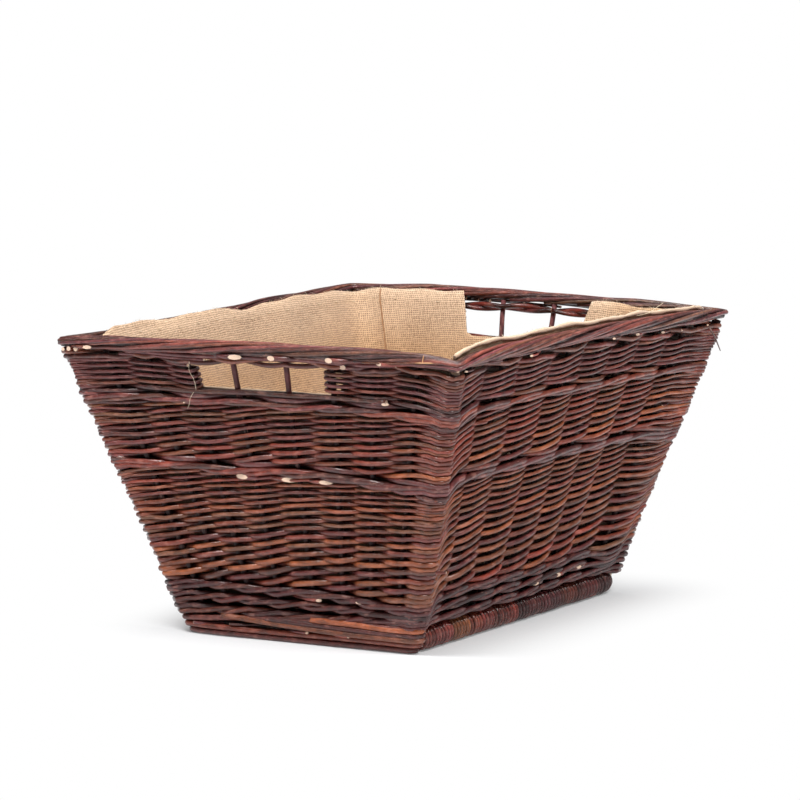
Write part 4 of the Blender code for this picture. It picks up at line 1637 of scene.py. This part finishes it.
@dataclass
class Foot:
    """Bound skids under the long sides and stacked rods under the ends.

    Each row of the stack says where a rod starts and stops, as shares of the half width, and the layers
    in which it starts and ends.
    """

    body: BasketBody
    finishes: Finishes
    skid_radius: float = 0.0140
    skid_level: float = 0.0135
    skid_length: float = 0.4130
    binding_radius: float = 0.0030
    shift: float = 0.0045
    turns: int = 66
    steps: int = 18
    next_rod_gap: float = 0.55
    closing: float = 0.03
    rod_radius: float = 0.0033
    clearance: float = 0.0002
    nesting: float = 0.96
    # Painted shade: near-black rods behind each stack that close its gaps: layers, half width, depth, radius.
    behind_layers: tuple = (1.0, 1.9, 2.9, 4.1)
    behind_half: float = 0.138
    behind_depth: float = 0.010
    behind_radius: float = 0.0042
    winding_shrink: float = 0.94
    end_shrink: float = 0.55
    winding_light: float = 1.18
    stack: tuple = ((-1.0, 1.0, 0.0, 0.0), (-1.0, 1.0, 1.0, 1.0), (-0.62, 1.0, 3.1, 1.9),
                    (-0.25, 1.0, 3.3, 2.7), (0.12, 1.0, 3.9, 3.5), (-1.0, 0.45, 2.1, 3.7))

    def skid(self, side: str, sign: int, seed: int) -> None:
        """Winds one skid: rods wound closely round a straight stick, one after another.

        The winding's place is the skid's axis plus its radius times the cosine and sine of an angle that
        grows by one turn per pitch. Thickness, pitch and radius differ from turn to turn, and a wider gap
        and another colour show where the next rod starts.

        Args:
            side: Name of the side, right or left.
            sign: 1 for the +X side, -1 for the other.
            seed: Seed of its random numbers.
        """
        rng = np.random.default_rng(seed)
        outer = self.skid_radius
        aside = sign * (self.body.half_width(self.skid_level) - outer)
        centre = np.array([aside, 0.0, outer - self.clearance])
        turn = np.arange(self.turns * self.steps + 1) / self.steps
        marks = np.arange(self.turns + 1)
        starts = np.cumsum(rng.integers(3, 7, 24))
        starts = starts[starts < self.turns]
        widths = 1.0 + rng.uniform(-0.12, 0.12, len(marks))
        thick = self.winding_shrink * self.binding_radius * np.interp(turn, marks, widths)
        lift = np.interp(turn, marks, rng.uniform(0.0, 0.0012, len(marks)))
        pitches = widths[:-1] + widths[1:]
        pitches[starts] += self.next_rod_gap
        places = np.concatenate([[0.0], np.cumsum(pitches)]) / pitches.sum()
        past = np.clip((np.abs(turn / self.turns - 0.5) - 0.5 + self.closing) / self.closing, 0.0, 1.0)
        reach = (outer - thick - lift) * (1.0 - self.end_shrink * past * past)
        angle = 2 * math.pi * turn * sign
        wound = self.skid_length - 2 * self.binding_radius
        along = (np.interp(turn, marks, places) - 0.5) * wound + self.shift
        path = centre + np.column_stack([reach * np.sin(angle), along, reach * np.cos(angle)])
        facing = np.column_stack([np.sin(angle), np.zeros(len(turn)), np.cos(angle)])
        colours = np.array([BOUND_MIX.pick(rng) for _ in range(len(starts) + 1)])
        single = np.interp(turn, marks, rng.uniform(0.55, 1.45, len(marks)))
        tint = colours[np.searchsorted(starts, turn, "right")] * single[:, None]
        winding = RodBundle(flank_shade=0.62)
        winding.lay(path, thick, facing, tint * self.winding_light)
        winding.finish(f"{side}_skid_winding", self.finishes.windings, "willow_binding",
                       (f"{side}_skid_binding",))
        stick = RodBundle(sides=14)
        half = self.skid_length / 2 - 0.010
        route = centre + np.outer(np.linspace(-half, half, 9) + self.shift, [0.0, 1.0, 0.0])
        # Painted shade: the stick is near black, so that the gaps between the turns look dark.
        stick.lay(route, outer - 2 * self.binding_radius, UP, Tone.SHADE.light() * 0.4)
        stick.finish(f"{side}_skid_core", self.finishes.cores, "willow_stakes", (f"{side}_skid_stick",))

    def end_rods(self, end: str, sign: int, seed: int) -> None:
        """Stacks the rods under one short end; further rods start on top, one after another.

        Args:
            end: Name of the end, front or back.
            sign: 1 for the +Y end, -1 for the other.
            seed: Seed of its random numbers.
        """
        rng = np.random.default_rng(seed)
        bundle = RodBundle()
        radius = self.rod_radius
        inset = radius + self.clearance
        pitch = 2 * radius * self.nesting
        across = np.linspace(-self.behind_half, self.behind_half, 12)
        # Painted shade: near-black rods behind the stack.
        for layer in self.behind_layers:
            place = [sign * (self.body.half_length(0.0) - self.behind_depth), layer * 2 * radius]
            hidden = np.column_stack([across, np.tile(place, (len(across), 1))])
            bundle.lay(hidden, self.behind_radius, UP, Tone.SHADE.light() * 0.3)
        for number, (start, stop, layer, last) in enumerate(self.stack):
            rise = inset + layer * pitch
            wide = self.body.half_width(rise) - 0.0030 * (layer < 0.5)
            deep = self.body.half_length(rise)
            points = [(start * wide, deep - inset)]
            if start <= -1.0:
                points = [(-wide + inset, deep - 0.030), (-wide + inset, deep - 0.014),
                          (-wide + 0.0075, deep - 0.0050), (-wide + 0.016, deep - inset)]
            middle = np.linspace(max(start, -0.80), stop - 0.12, 4)[1:]
            points += [(share * wide, deep - inset) for share in middle]
            points += [(wide - 0.016, deep - inset)]
            if sign < 0:
                points += [(wide - 0.0068, deep - 0.0052), (wide - inset, deep - 0.0105),
                           (wide - inset - 0.0012, deep - 0.0160)]
            flat = np.array(points)
            passed = lengths_along(flat)
            heights = rise + (last - layer) * pitch * smoothstep(passed / (0.62 * passed[-1]))
            path = smooth_route(np.column_stack([flat * [1, sign], heights]), 0.0055)
            wobble = 0.0004 * np.sin(np.linspace(0.0, 9.0, len(path)) + number)
            path[:, 2] = np.maximum(path[:, 2] + wobble, radius)
            tint = SIDING_MIX.pick(rng) * rng.uniform(0.60, 0.95)
            cut = np.array([0.0, sign * 0.5, 0.3])
            bundle.lay(path[::-1], radius * rng.uniform(0.92, 1.04), UP, tint, slant_end=cut)
        bundle.finish(f"{end}_foot_stack", self.finishes.rods, "willow_stakes", (f"{end}_foot_rods",))

    def build(self) -> None:
        """Builds both skids and both stacks."""
        self.skid("right", 1, 51)
        self.skid("left", -1, 52)
        self.end_rods("front", -1, 53)
        self.end_rods("back", 1, 54)


@dataclass
class Base:
    """Woven base: rods over and under five lengthwise sticks."""

    body: BasketBody
    finishes: Finishes
    bottom: float = 0.0278
    thickness: float = 0.0140
    end_gap: float = 0.0205
    side_gap: float = 0.018
    stick_radius: float = 0.0045
    shares: tuple = (-0.76, -0.38, 0.0, 0.38, 0.76)
    pitch: float = 0.0058
    rod_radius: float = 0.0024
    edge_heights: tuple = (0.0300, 0.0355, 0.0410)
    edge_gap: float = 0.0225
    edge_radius: float = 0.0036

    def build(self) -> None:
        """Lays the sticks and weaves the rods over one and under the next.

        A weaving rod's height is the sticks' level plus or minus the swing, going from stick to stick by
        a raised cosine.
        """
        rng = np.random.default_rng(61)
        level = self.bottom + self.thickness / 2
        reach = self.body.half_length(self.bottom) - self.end_gap
        span = self.body.half_width(self.bottom) - self.side_gap
        sticks = RodBundle(sides=10)
        for share in self.shares:
            ends = np.linspace(-reach, reach, 12)
            path = np.column_stack([np.full(12, share * span), ends, np.full(12, level)])
            sticks.lay(path, self.stick_radius, UP, Tone.UMBER.light() * rng.uniform(0.8, 1.1))
        names = tuple(f"base_stick_{number}" for number in range(1, 6))
        sticks.finish("base_sticks", self.finishes.rods, "willow_stakes", names)
        weave = RodBundle(sides=6)
        marks = np.array([-1.0, *self.shares, 1.0]) * (span - self.rod_radius)
        across = np.linspace(marks[0], marks[-1], 42)
        swing = self.thickness / 2 - self.rod_radius - 0.0001
        cell, part = find_cells(marks, across)
        sides = np.where(np.arange(len(marks)) % 2 == 0, 1.0, -1.0)
        wave = sides[cell] + (sides[cell + 1] - sides[cell]) * (0.5 - 0.5 * np.cos(math.pi * part))
        for number, place in enumerate(np.arange(-reach + 0.004, reach - 0.003, self.pitch)):
            turn = 1.0 if number % 2 else -1.0
            bend = 0.0004 * np.sin(across * 40.0 + number)
            path = np.column_stack([across, place + bend, level + swing * turn * wave])
            weave.lay(path, self.rod_radius * rng.uniform(0.92, 1.08), UP, SIDING_MIX.pick(rng))
        weave.finish("base_rods", self.finishes.rods, "willow_siding", ("base_weave",))
        # Painted shade: near-black rods round the base's edge, inside the lowest wale.
        edge = RodBundle()
        for height in self.edge_heights:
            wide = self.body.half_width(height) - self.edge_gap
            long = self.body.half_length(height) - self.edge_gap
            corners = np.array([[wide, -long], [wide, long], [-wide, long], [-wide, -long]])
            lines = [np.linspace(corners[number], corners[(number + 1) % 4], 8)[:-1] for number in range(4)]
            path = np.vstack([*lines, corners[:1] + [0.0, 0.004]])
            path = np.column_stack([path, np.full(len(path), height)])
            edge.lay(path, self.edge_radius, UP, Tone.SHADE.light() * 0.3)
        edge.finish("base_edge_rods", self.finishes.stakes, "willow_siding")


# The liner


# Points and radius of each loose thread: one over the right rim and two beside the front hand hole
LOOSE_THREADS = (
    (((0.2420, 0.0940, 0.3280), (0.2500, 0.1010, 0.3300), (0.2510, 0.1200, 0.3340), (0.2500, 0.1400, 0.3380)),
     0.00028),
    (((-0.0792, -0.2895, 0.3050), (-0.0800, -0.2890, 0.2960), (-0.0762, -0.2850, 0.2840),
      (-0.0756, -0.2830, 0.2743)), 0.00030),
    (((-0.0790, -0.2830, 0.2720), (-0.0854, -0.2805, 0.2640), (-0.0875, -0.2790, 0.2580),
      (-0.0905, -0.2780, 0.2537)), 0.00030),
)


@dataclass
class Liner:
    """Hessian box, sewn at its corners and stitched under the rim, with a notch at each hand hole."""

    body: BasketBody
    finishes: Finishes
    inset: float = 0.0204
    corner_radii: tuple = (0.006, 0.006, 0.030, 0.006)
    lean: float = 0.0038
    floor: float = 0.0422
    thickness: float = 0.0014
    notch_halves: tuple = (0.0, 0.0810, 0.0, 0.0950)
    notch_short: float = 0.0075
    notch_foot: float = 0.2740
    edge: float = 0.3297
    columns: int = 432
    floor_rings: int = 14
    wall_rows: int = 64
    uv_steps: tuple = (3.1, 1.7)
    fibres_tried: int = 2000
    slack_corner: int = 2
    slack_shift: float = 0.0175
    stitch_pitch: float = 0.0165
    stitch_depth: float = 0.011
    stitch_radius: float = 0.00035
    seam_radius: float = 0.0009
    hem_out: float = 0.0018
    hem_up: float = 0.0003
    side_hem: float = 0.0021
    notch_hem: float = 0.0013

    def outline(self, share: np.ndarray, height: np.ndarray, drawn: np.ndarray) -> tuple:
        """Places on the liner's round at heights, drawn inwards.

        Args:
            share: Shares of the way round, a whole quarter for each wall from corner middle to corner middle.
            height: Heights, of the same shape.
            drawn: Inward distances, of the same shape.

        Returns:
            Places as x and y: the wall's middle line plus its direction times the run, bent round each
            corner. And the run along each wall from its middle.
        """
        wall = np.clip((share * 4).astype(int), 0, 3)
        part = share * 4 - wall - 0.5
        corner = np.array(self.corner_radii)[np.where(part < 0, wall, (wall + 1) % 4)]
        own, cross = (half - self.inset for half in self.body.halves(wall, height))
        straight = own - corner
        local = part * (2 * straight + math.pi / 2 * corner)
        base, normal = bend_round(wall, local, straight, corner, cross - corner)
        return base + normal * (corner - drawn)[..., None], local

    def edge_height(self, share: np.ndarray) -> np.ndarray:
        """Height of the top edge: above the rim on the right, just below it on the left and back.

        Args:
            share: Shares of the way round.

        Returns:
            The edge's level plus the rim's settling there, the table's lift and two small ripples.
        """
        wall = np.clip((share * 4).astype(int), 0, 3)
        spans, _ = self.body.spans(self.body.weave_top)
        passed = np.cumsum(spans)[wall] + (share * 4 - wall - 1.0) * spans[wall]
        rim = self.body.settle(passed / spans.sum(), self.body.weave_top) - self.body.weave_top
        ripple = 0.0011 * np.sin(2 * math.pi * 13 * share) + 0.0008 * np.sin(2 * math.pi * 29 * share + 1.0)
        return self.edge + rim + np.interp(share, *EDGE_LIFTS) + ripple

    def notched_edge(self, share: np.ndarray, wall: np.ndarray) -> np.ndarray:
        """Height of the top edge with a notch at each hand hole.

        Args:
            share: Shares of the way round.
            wall: Wall of each share.

        Returns:
            The edge's height, which falls by a soft step to the notch's foot. The foot rises a little at
            its ends.
        """
        top = self.edge_height(share)
        _, local = self.outline(share, top, np.zeros_like(top))
        short = self.notch_short * ((wall == Wall.BACK.value) & (local > 0))
        beyond = np.abs(local) - np.array(self.notch_halves)[wall] + short
        foot = self.notch_foot + 0.004 * smoothstep((beyond + 0.008) / 0.008)
        return np.where(wall % 2 == 1, foot + (top - foot) * smoothstep(beyond / 0.007), top)

    def risen(self, height: np.ndarray) -> np.ndarray:
        """Heights as shares of the way from the floor to the edge's level."""
        return (height - self.floor) / (self.edge - self.floor)

    def folds(self, share: np.ndarray, rise: np.ndarray) -> np.ndarray:
        """Inward depth of the soft folds, deepest a little below the edge and nothing at the floor.

        Args:
            share: Shares of the way round.
            rise: Shares of the way up.

        Returns:
            The depth, with the cloth's lean up to just below the edge.
        """
        soft = Wander(71, 1.0, (5, 8, 13, 21), 0.6)
        fine = Wander(72, 1.0, (27, 34, 46), 0.15)
        depth = 0.0017 * (1 + soft(share, rise * 0.3)) + 0.0004 * (1 + fine(share, rise * 0.3))
        hollow = np.clip(depth, 0.0, None) * np.sin(math.pi * np.clip(0.08 + rise * 0.80, 0.0, 1.0)) ** 0.7
        return hollow + self.lean * (1.0 - smoothstep((rise - 0.935) / 0.045))

    def build(self) -> None:
        """Makes the cloth from one grid that runs from the middle of the floor outwards and up the walls."""
        share = (np.arange(self.columns) + 0.5) / self.columns
        wall = (share * 4).astype(int)
        edge = self.notched_edge(share, wall)
        up = np.linspace(0.0, 1.0, self.wall_rows) ** 0.9
        grid_share = np.broadcast_to(share, (self.wall_rows, self.columns))
        height = self.floor + (edge - self.floor)[None, :] * up[:, None]
        flat, local = self.outline(grid_share, height, self.folds(grid_share, self.risen(height)))
        walls = np.concatenate([flat, height[..., None]], axis=-1)
        shrink = np.arange(1, self.floor_rings)[:, None] / self.floor_rings
        floors = walls[:1] * shrink[..., None]
        lumps = Wander(73, 0.0006, (3, 4, 7), 0.2)
        floors[..., 2] = self.floor + np.abs(lumps(grid_share[:len(shrink)], shrink * 0.2))
        grid = np.concatenate([floors, walls])
        number = np.arange(len(grid) * self.columns).reshape(-1, self.columns)
        after = np.roll(number, -1, axis=1)
        quads = np.stack([number[:-1], number[1:], after[1:], after[:-1]], axis=-1)
        fan = np.stack([np.full(self.columns, number.size), number[0], after[0]], axis=-1)
        places = np.vstack([grid.reshape(-1, 3), [[0.0, 0.0, self.floor]]])
        mesh = fill_mesh("liner_cloth", places, [quads.reshape(-1, 4), fan])
        climbed = np.cumsum(np.linalg.norm(np.diff(walls, axis=0), axis=2), axis=0)
        slant = np.concatenate([np.zeros((1, self.columns)), climbed])
        self.map_cloth(mesh, grid[..., :2], local, slant, wall)
        cloth = add_piece("liner_cloth", mesh, self.finishes.cloth, ("liner",))
        solid = cloth.modifiers.new("cloth_thickness", "SOLIDIFY")
        solid.thickness = self.thickness
        solid.offset = -1.0
        solid.material_offset = 1
        self.face_inwards(mesh)
        rim = walls[-1]
        rng = np.random.default_rng(81)
        trims = [self.hem(wall, edge, rim), self.fibres(wall, edge, rim, rng), self.seams(),
                 self.stitches(rng)]
        half_x = self.body.half_width(self.floor) - self.inset
        half_y = self.body.half_length(self.floor) - self.inset
        rise_length = float(slant[-1].max())
        flat_size = (2 * half_x + 2 * rise_length, 2 * half_y + 2 * rise_length)

    def map_cloth(self, mesh: bpy.types.Mesh, flat: np.ndarray, local: np.ndarray, slant: np.ndarray,
                  wall: np.ndarray) -> None:
        """Gives the cloth its UV map in metres: along and up each wall, and x and y on the floor.

        Args:
            mesh: The cloth.
            flat: x and y of the grid's places by row and column.
            local: Runs along each wall for each wall row.
            slant: Lengths up the cloth for each wall row.
            wall: The wall of each column.
        """
        step = np.roll(np.arange(self.columns), -1)
        rows = len(flat) - len(local)
        inner, outer = flat[:rows], flat[1:rows + 1]
        floor = np.stack([inner, outer, outer[:, step], inner[:, step]], axis=2)
        width = np.diff(local, axis=1, append=local[:, -1:])
        width[:, -1] = width[:, -2]
        turned = wall[step] != wall
        width[:, turned] = np.roll(width, 1, axis=1)[:, turned]
        here = np.stack([local, slant], axis=-1)
        beside = np.stack([local + width, slant[:, step]], axis=-1)
        sides = np.stack([here[:-1], here[1:], beside[1:], beside[:-1]], axis=2)
        sides += np.array(self.uv_steps) * wall[None, :, None, None]
        fan = np.stack([np.zeros((self.columns, 2)), flat[0], flat[0][step]], axis=1)
        layer = mesh.uv_layers.new(name="cloth")
        whole = np.concatenate([part.ravel() for part in (floor, sides, fan)])
        layer.data.foreach_set("uv", whole.astype(np.float32))

    def face_inwards(self, mesh: bpy.types.Mesh) -> None:
        """Turns the cloth's faces to look into the basket, so that its thickness grows outwards.

        Args:
            mesh: The cloth, whose lowest face tells the way.
        """
        lowest = min(mesh.polygons, key=lambda face: face.center.z)
        if lowest.normal.z < 0:
            mesh.flip_normals()

    def hem(self, wall: np.ndarray, edge: np.ndarray, rim: np.ndarray) -> bpy.types.Object:
        """Makes the folded hem that shows on the right wall and in the front notch.

        Args:
            wall: The wall of each column.
            edge: Height of the edge at each column.
            rim: Places of the edge.

        Returns:
            The new piece.
        """
        hem = RodBundle()
        level = rim * [1.0, 1.0, 0.0]
        outward = level / np.linalg.norm(level, axis=1)[:, None]
        line = rim + outward * self.hem_out + UP * self.hem_up
        count = np.arange(len(line))
        swell = 1.0 + 0.18 * np.sin(count * 0.61) + 0.12 * np.sin(count * 1.7)
        on_right = wall == Wall.RIGHT.value
        hem.lay(line[on_right], self.side_hem * swell[on_right], UP, linear(220, 192, 160))
        on_front = (wall == Wall.FRONT.value) & (edge < self.notch_foot + 0.003)
        hem.lay(line[on_front], self.notch_hem * swell[on_front], UP, linear(226, 200, 164))
        return hem.finish("liner_hem", self.finishes.hem, "hessian")

    def fibres(self, wall: np.ndarray, edge: np.ndarray, rim: np.ndarray,
               rng: np.random.Generator) -> bpy.types.Object:
        """Makes the loose fibres on the edge, most of them on the right wall, and the loose threads.

        Args:
            wall: The wall of each column.
            edge: Height of the edge at each column.
            rim: Places of the edge.
            rng: The liner's random numbers.

        Returns:
            The new piece.
        """
        fluff = RodBundle(sides=3)
        jute = linear(235, 212, 176)
        taper, facing = np.array([0.00022, 0.00018, 0.00010]), np.array([0.3, 0.4, 0.86])
        level = np.flatnonzero(np.abs(np.diff(edge, append=edge[:1])) < 0.002)
        chosen = rng.choice(level, self.fibres_tried)
        favoured = rng.random(self.fibres_tried) < np.where(wall[chosen] == Wall.RIGHT.value, 1.0, 0.12)
        for column in chosen[favoured]:
            base = rim[column] - UP * 0.0005
            way = np.array([*rng.normal(0.0, 1.0, 2), abs(rng.normal(0.6, 0.6))])
            way *= rng.uniform(0.0018, 0.0052) / np.linalg.norm(way)
            curl = np.array([*rng.normal(0.0, 0.0009, 2), 0.0])
            fluff.lay(np.array([base, base + way * 0.5 + curl, base + way]), taper, facing, jute)
        for points, thick in LOOSE_THREADS:
            fluff.lay(smooth_route(np.array(points), 0.003), thick, UP, jute)
        return fluff.finish("liner_fluff", self.finishes.fluff, "hessian")

    def seams(self) -> bpy.types.Object:
        """Makes the four corner seams, of which the one at the wide corner lies aside and wavers."""
        seam = RodBundle(sides=6)
        for corner in range(4):
            slack = corner == self.slack_corner
            share = np.full(40, corner / 4 + 1e-6 - self.slack_shift * slack)
            height = np.linspace(self.floor + 0.002, float(self.edge_height(share[:1])[0]) - 0.001, 40)
            flat, _ = self.outline(share, height, self.folds(share, self.risen(height)) + 0.0004)
            path = np.column_stack([flat, height])
            path[:, 1] += 0.0007 * np.sin(height * 260.0) * slack
            seam.lay(path, self.seam_radius, FORWARD, linear(146, 104, 66))
        return seam.finish("liner_seams", self.finishes.seam, "hessian")

    def stitches(self, rng: np.random.Generator) -> bpy.types.Object:
        """Makes the row of stitches under the rim, with none in the notches.

        Args:
            rng: The liner's random numbers.

        Returns:
            The new piece.
        """
        stitches = RodBundle(sides=5)
        for start in np.arange(0.008, 1.0, self.stitch_pitch):
            share = start + np.array([0.0, 0.0012, 0.0024])
            wall = int(start * 4)
            height = self.edge_height(share) - self.stitch_depth + rng.normal(0.0, 0.0006)
            drawn = self.folds(share, self.risen(height)) + np.array([0.0002, 0.0008, 0.0002])
            flat, local = self.outline(share, height, drawn)
            if wall % 2 == 0 or abs(local[1]) >= self.notch_halves[wall] + 0.012:
                path = np.column_stack([flat, height])
                stitches.lay(path, self.stitch_radius, UP, linear(150, 106, 66))
        return stitches.finish("liner_stitches", self.finishes.fluff, "hessian")


# Stage, light and camera


@dataclass(frozen=True)
class Studio:
    """Plain pale floor, soft light and the camera of the portrait."""

    azimuth: float = 31.96
    elevation: float = 7.568
    roll: float = -0.862
    distance: float = 4.952
    focal_pixels: float = 4535.0
    picture: float = 800.0
    sensor: float = 36.0
    shift_right: float = -0.0010
    shift_up: float = 0.0536
    aim_height: float = 0.18
    foot_half: tuple = (0.1465, 0.2140)
    floor_half: float = 60.0
    room_light: float = 0.24

    def camera(self) -> None:
        """Sets the camera on its bearing, turned by its roll."""
        turn, rise, roll = (math.radians(angle) for angle in (self.azimuth, self.elevation, self.roll))
        back = Vector((math.sin(turn) * math.cos(rise), -math.cos(turn) * math.cos(rise), math.sin(rise)))
        right = Vector((math.cos(turn), math.sin(turn), 0.0))
        up = back.cross(right)
        place = Vector((0.0, 0.0, self.aim_height)) + right * self.shift_right + up * self.shift_up
        place += back * self.distance
        side = right * math.cos(roll) + up * math.sin(roll)
        top = up * math.cos(roll) - right * math.sin(roll)
        data = bpy.data.cameras.new("portrait_camera")
        data.sensor_width = self.sensor
        data.lens = self.focal_pixels / self.picture * self.sensor
        data.clip_start, data.clip_end = 0.1, 200.0
        camera = bpy.data.objects.new("portrait_camera", data)
        bpy.context.scene.collection.objects.link(camera)
        columns = [(*column, 0.0) for column in (side, top, back)]
        camera.matrix_world = Matrix((*columns, (*place, 1.0))).transposed()
        bpy.context.scene.camera = camera

    def lamp(self, name: str, place: tuple, aim: tuple, size: tuple, power: float, colour: tuple) -> None:
        """Adds one soft box.

        Args:
            name: The lamp's name.
            place: Its place.
            aim: The point it looks at.
            size: Its width and height.
            power: Its power in watts.
            colour: Its colour.
        """
        data = bpy.data.lights.new(name, "AREA")
        data.shape, data.size, data.size_y = "RECTANGLE", *size
        data.energy, data.color = power, colour
        lamp = bpy.data.objects.new(name, data)
        bpy.context.scene.collection.objects.link(lamp)
        lamp.location = place
        lamp.rotation_mode = "QUATERNION"
        lamp.rotation_quaternion = (Vector(aim) - Vector(place)).to_track_quat("-Z", "Y")

    def floor(self) -> None:
        """Lays the floor: pale with a soft shadow near the object, plain white to the camera beyond."""
        shading = Shading("studio_floor")
        seen = shading.node("ShaderNodeLightPath", {}, {}, "Is Camera Ray")
        sideways, lengthways = shading.split(shading.place())[:2]
        beside = (sideways.size() - self.foot_half[0]).larger(0.0)
        before = (lengthways.size() - self.foot_half[1]).larger(0.0)
        distance = (beside * beside + before * before) ** 0.5
        diffuse = shading.node("ShaderNodeBsdfDiffuse", {}, {"Color": (0.78, 0.80, 0.82, 1.0)})
        white = shading.node("ShaderNodeEmission", {}, {"Color": (1.0, 1.0, 1.0, 1.0), "Strength": 1.0})
        outer = distance.ramp(-0.05, 0.14) * seen
        both = shading.node("ShaderNodeMixShader", {}, {0: outer, 1: diffuse, 2: white})
        shading.tree.links.new(both.socket, shading.output.inputs["Surface"])
        half = self.floor_half
        corners = np.array([[-half, -half, 0.0], [half, -half, 0.0], [half, half, 0.0], [-half, half, 0.0]])
        mesh = fill_mesh("studio_floor", corners, [np.array([[0, 1, 2, 3]])], smooth=False)
        mesh.materials.append(shading.material)
        floor = bpy.data.objects.new("studio_floor", mesh)
        bpy.context.scene.collection.objects.link(floor)
        floor.location.z = -0.0002

    def world(self) -> None:
        """Fills the room with even pale light, white where the camera or a reflection sees it."""
        world = bpy.data.worlds.new("studio")
        bpy.context.scene.world = world
        world.use_nodes = True
        tree = world.node_tree
        tree.nodes.clear()
        output = tree.nodes.new("ShaderNodeOutputWorld")
        background = tree.nodes.new("ShaderNodeBackground")
        background.inputs["Color"].default_value = (1.0, 1.0, 1.0, 1.0)
        path = tree.nodes.new("ShaderNodeLightPath")
        most = tree.nodes.new("ShaderNodeMath")
        most.operation = "MAXIMUM"
        tree.links.new(path.outputs["Is Camera Ray"], most.inputs[0])
        tree.links.new(path.outputs["Is Transmission Ray"], most.inputs[1])
        level = tree.nodes.new("ShaderNodeMapRange")
        level.inputs["To Min"].default_value = self.room_light
        level.inputs["To Max"].default_value = 1.0
        tree.links.new(most.outputs[0], level.inputs["Value"])
        tree.links.new(level.outputs[0], background.inputs["Strength"])
        tree.links.new(background.outputs[0], output.inputs["Surface"])

    def build(self) -> None:
        """Sets camera, lamps, floor and world."""
        self.camera()
        self.floor()
        self.world()
        self.lamp("key_box", (-0.4, -1.45, 2.85), (0.0, 0.0, 0.15), (1.0, 0.6), 92.0, (1.0, 0.99, 0.98))
        self.lamp("side_box", (2.0, -0.5, 2.6), (0.0, 0.0, 0.15), (0.9, 0.9), 66.0, (1.0, 0.985, 0.97))
        self.lamp("top_box", (0.0, 0.5, 2.8), (0.0, 0.0, 0.2), (1.6, 1.6), 30.0, (1.0, 1.0, 1.0))
        bpy.context.scene.view_settings.view_transform = "Standard"


def main() -> None:
    """Builds the studio and the basket, sub-assembly by sub-assembly."""
    logging.basicConfig(level=logging.INFO, format="%(name)s: %(message)s")
    for item in list(bpy.context.scene.objects):
        if item.type in {"LIGHT", "CAMERA"}:
            bpy.data.objects.remove(item)
    Studio().build()
    finishes = Finishes()
    body = BasketBody()
    weaver = Weaver(body)
    WovenWall(weaver, finishes).build()
    Rim(weaver, finishes).build()
    Base(body, finishes).build()
    Foot(body, finishes).build()
    Liner(body, finishes).build()


if __name__ == "__main__":
    main()
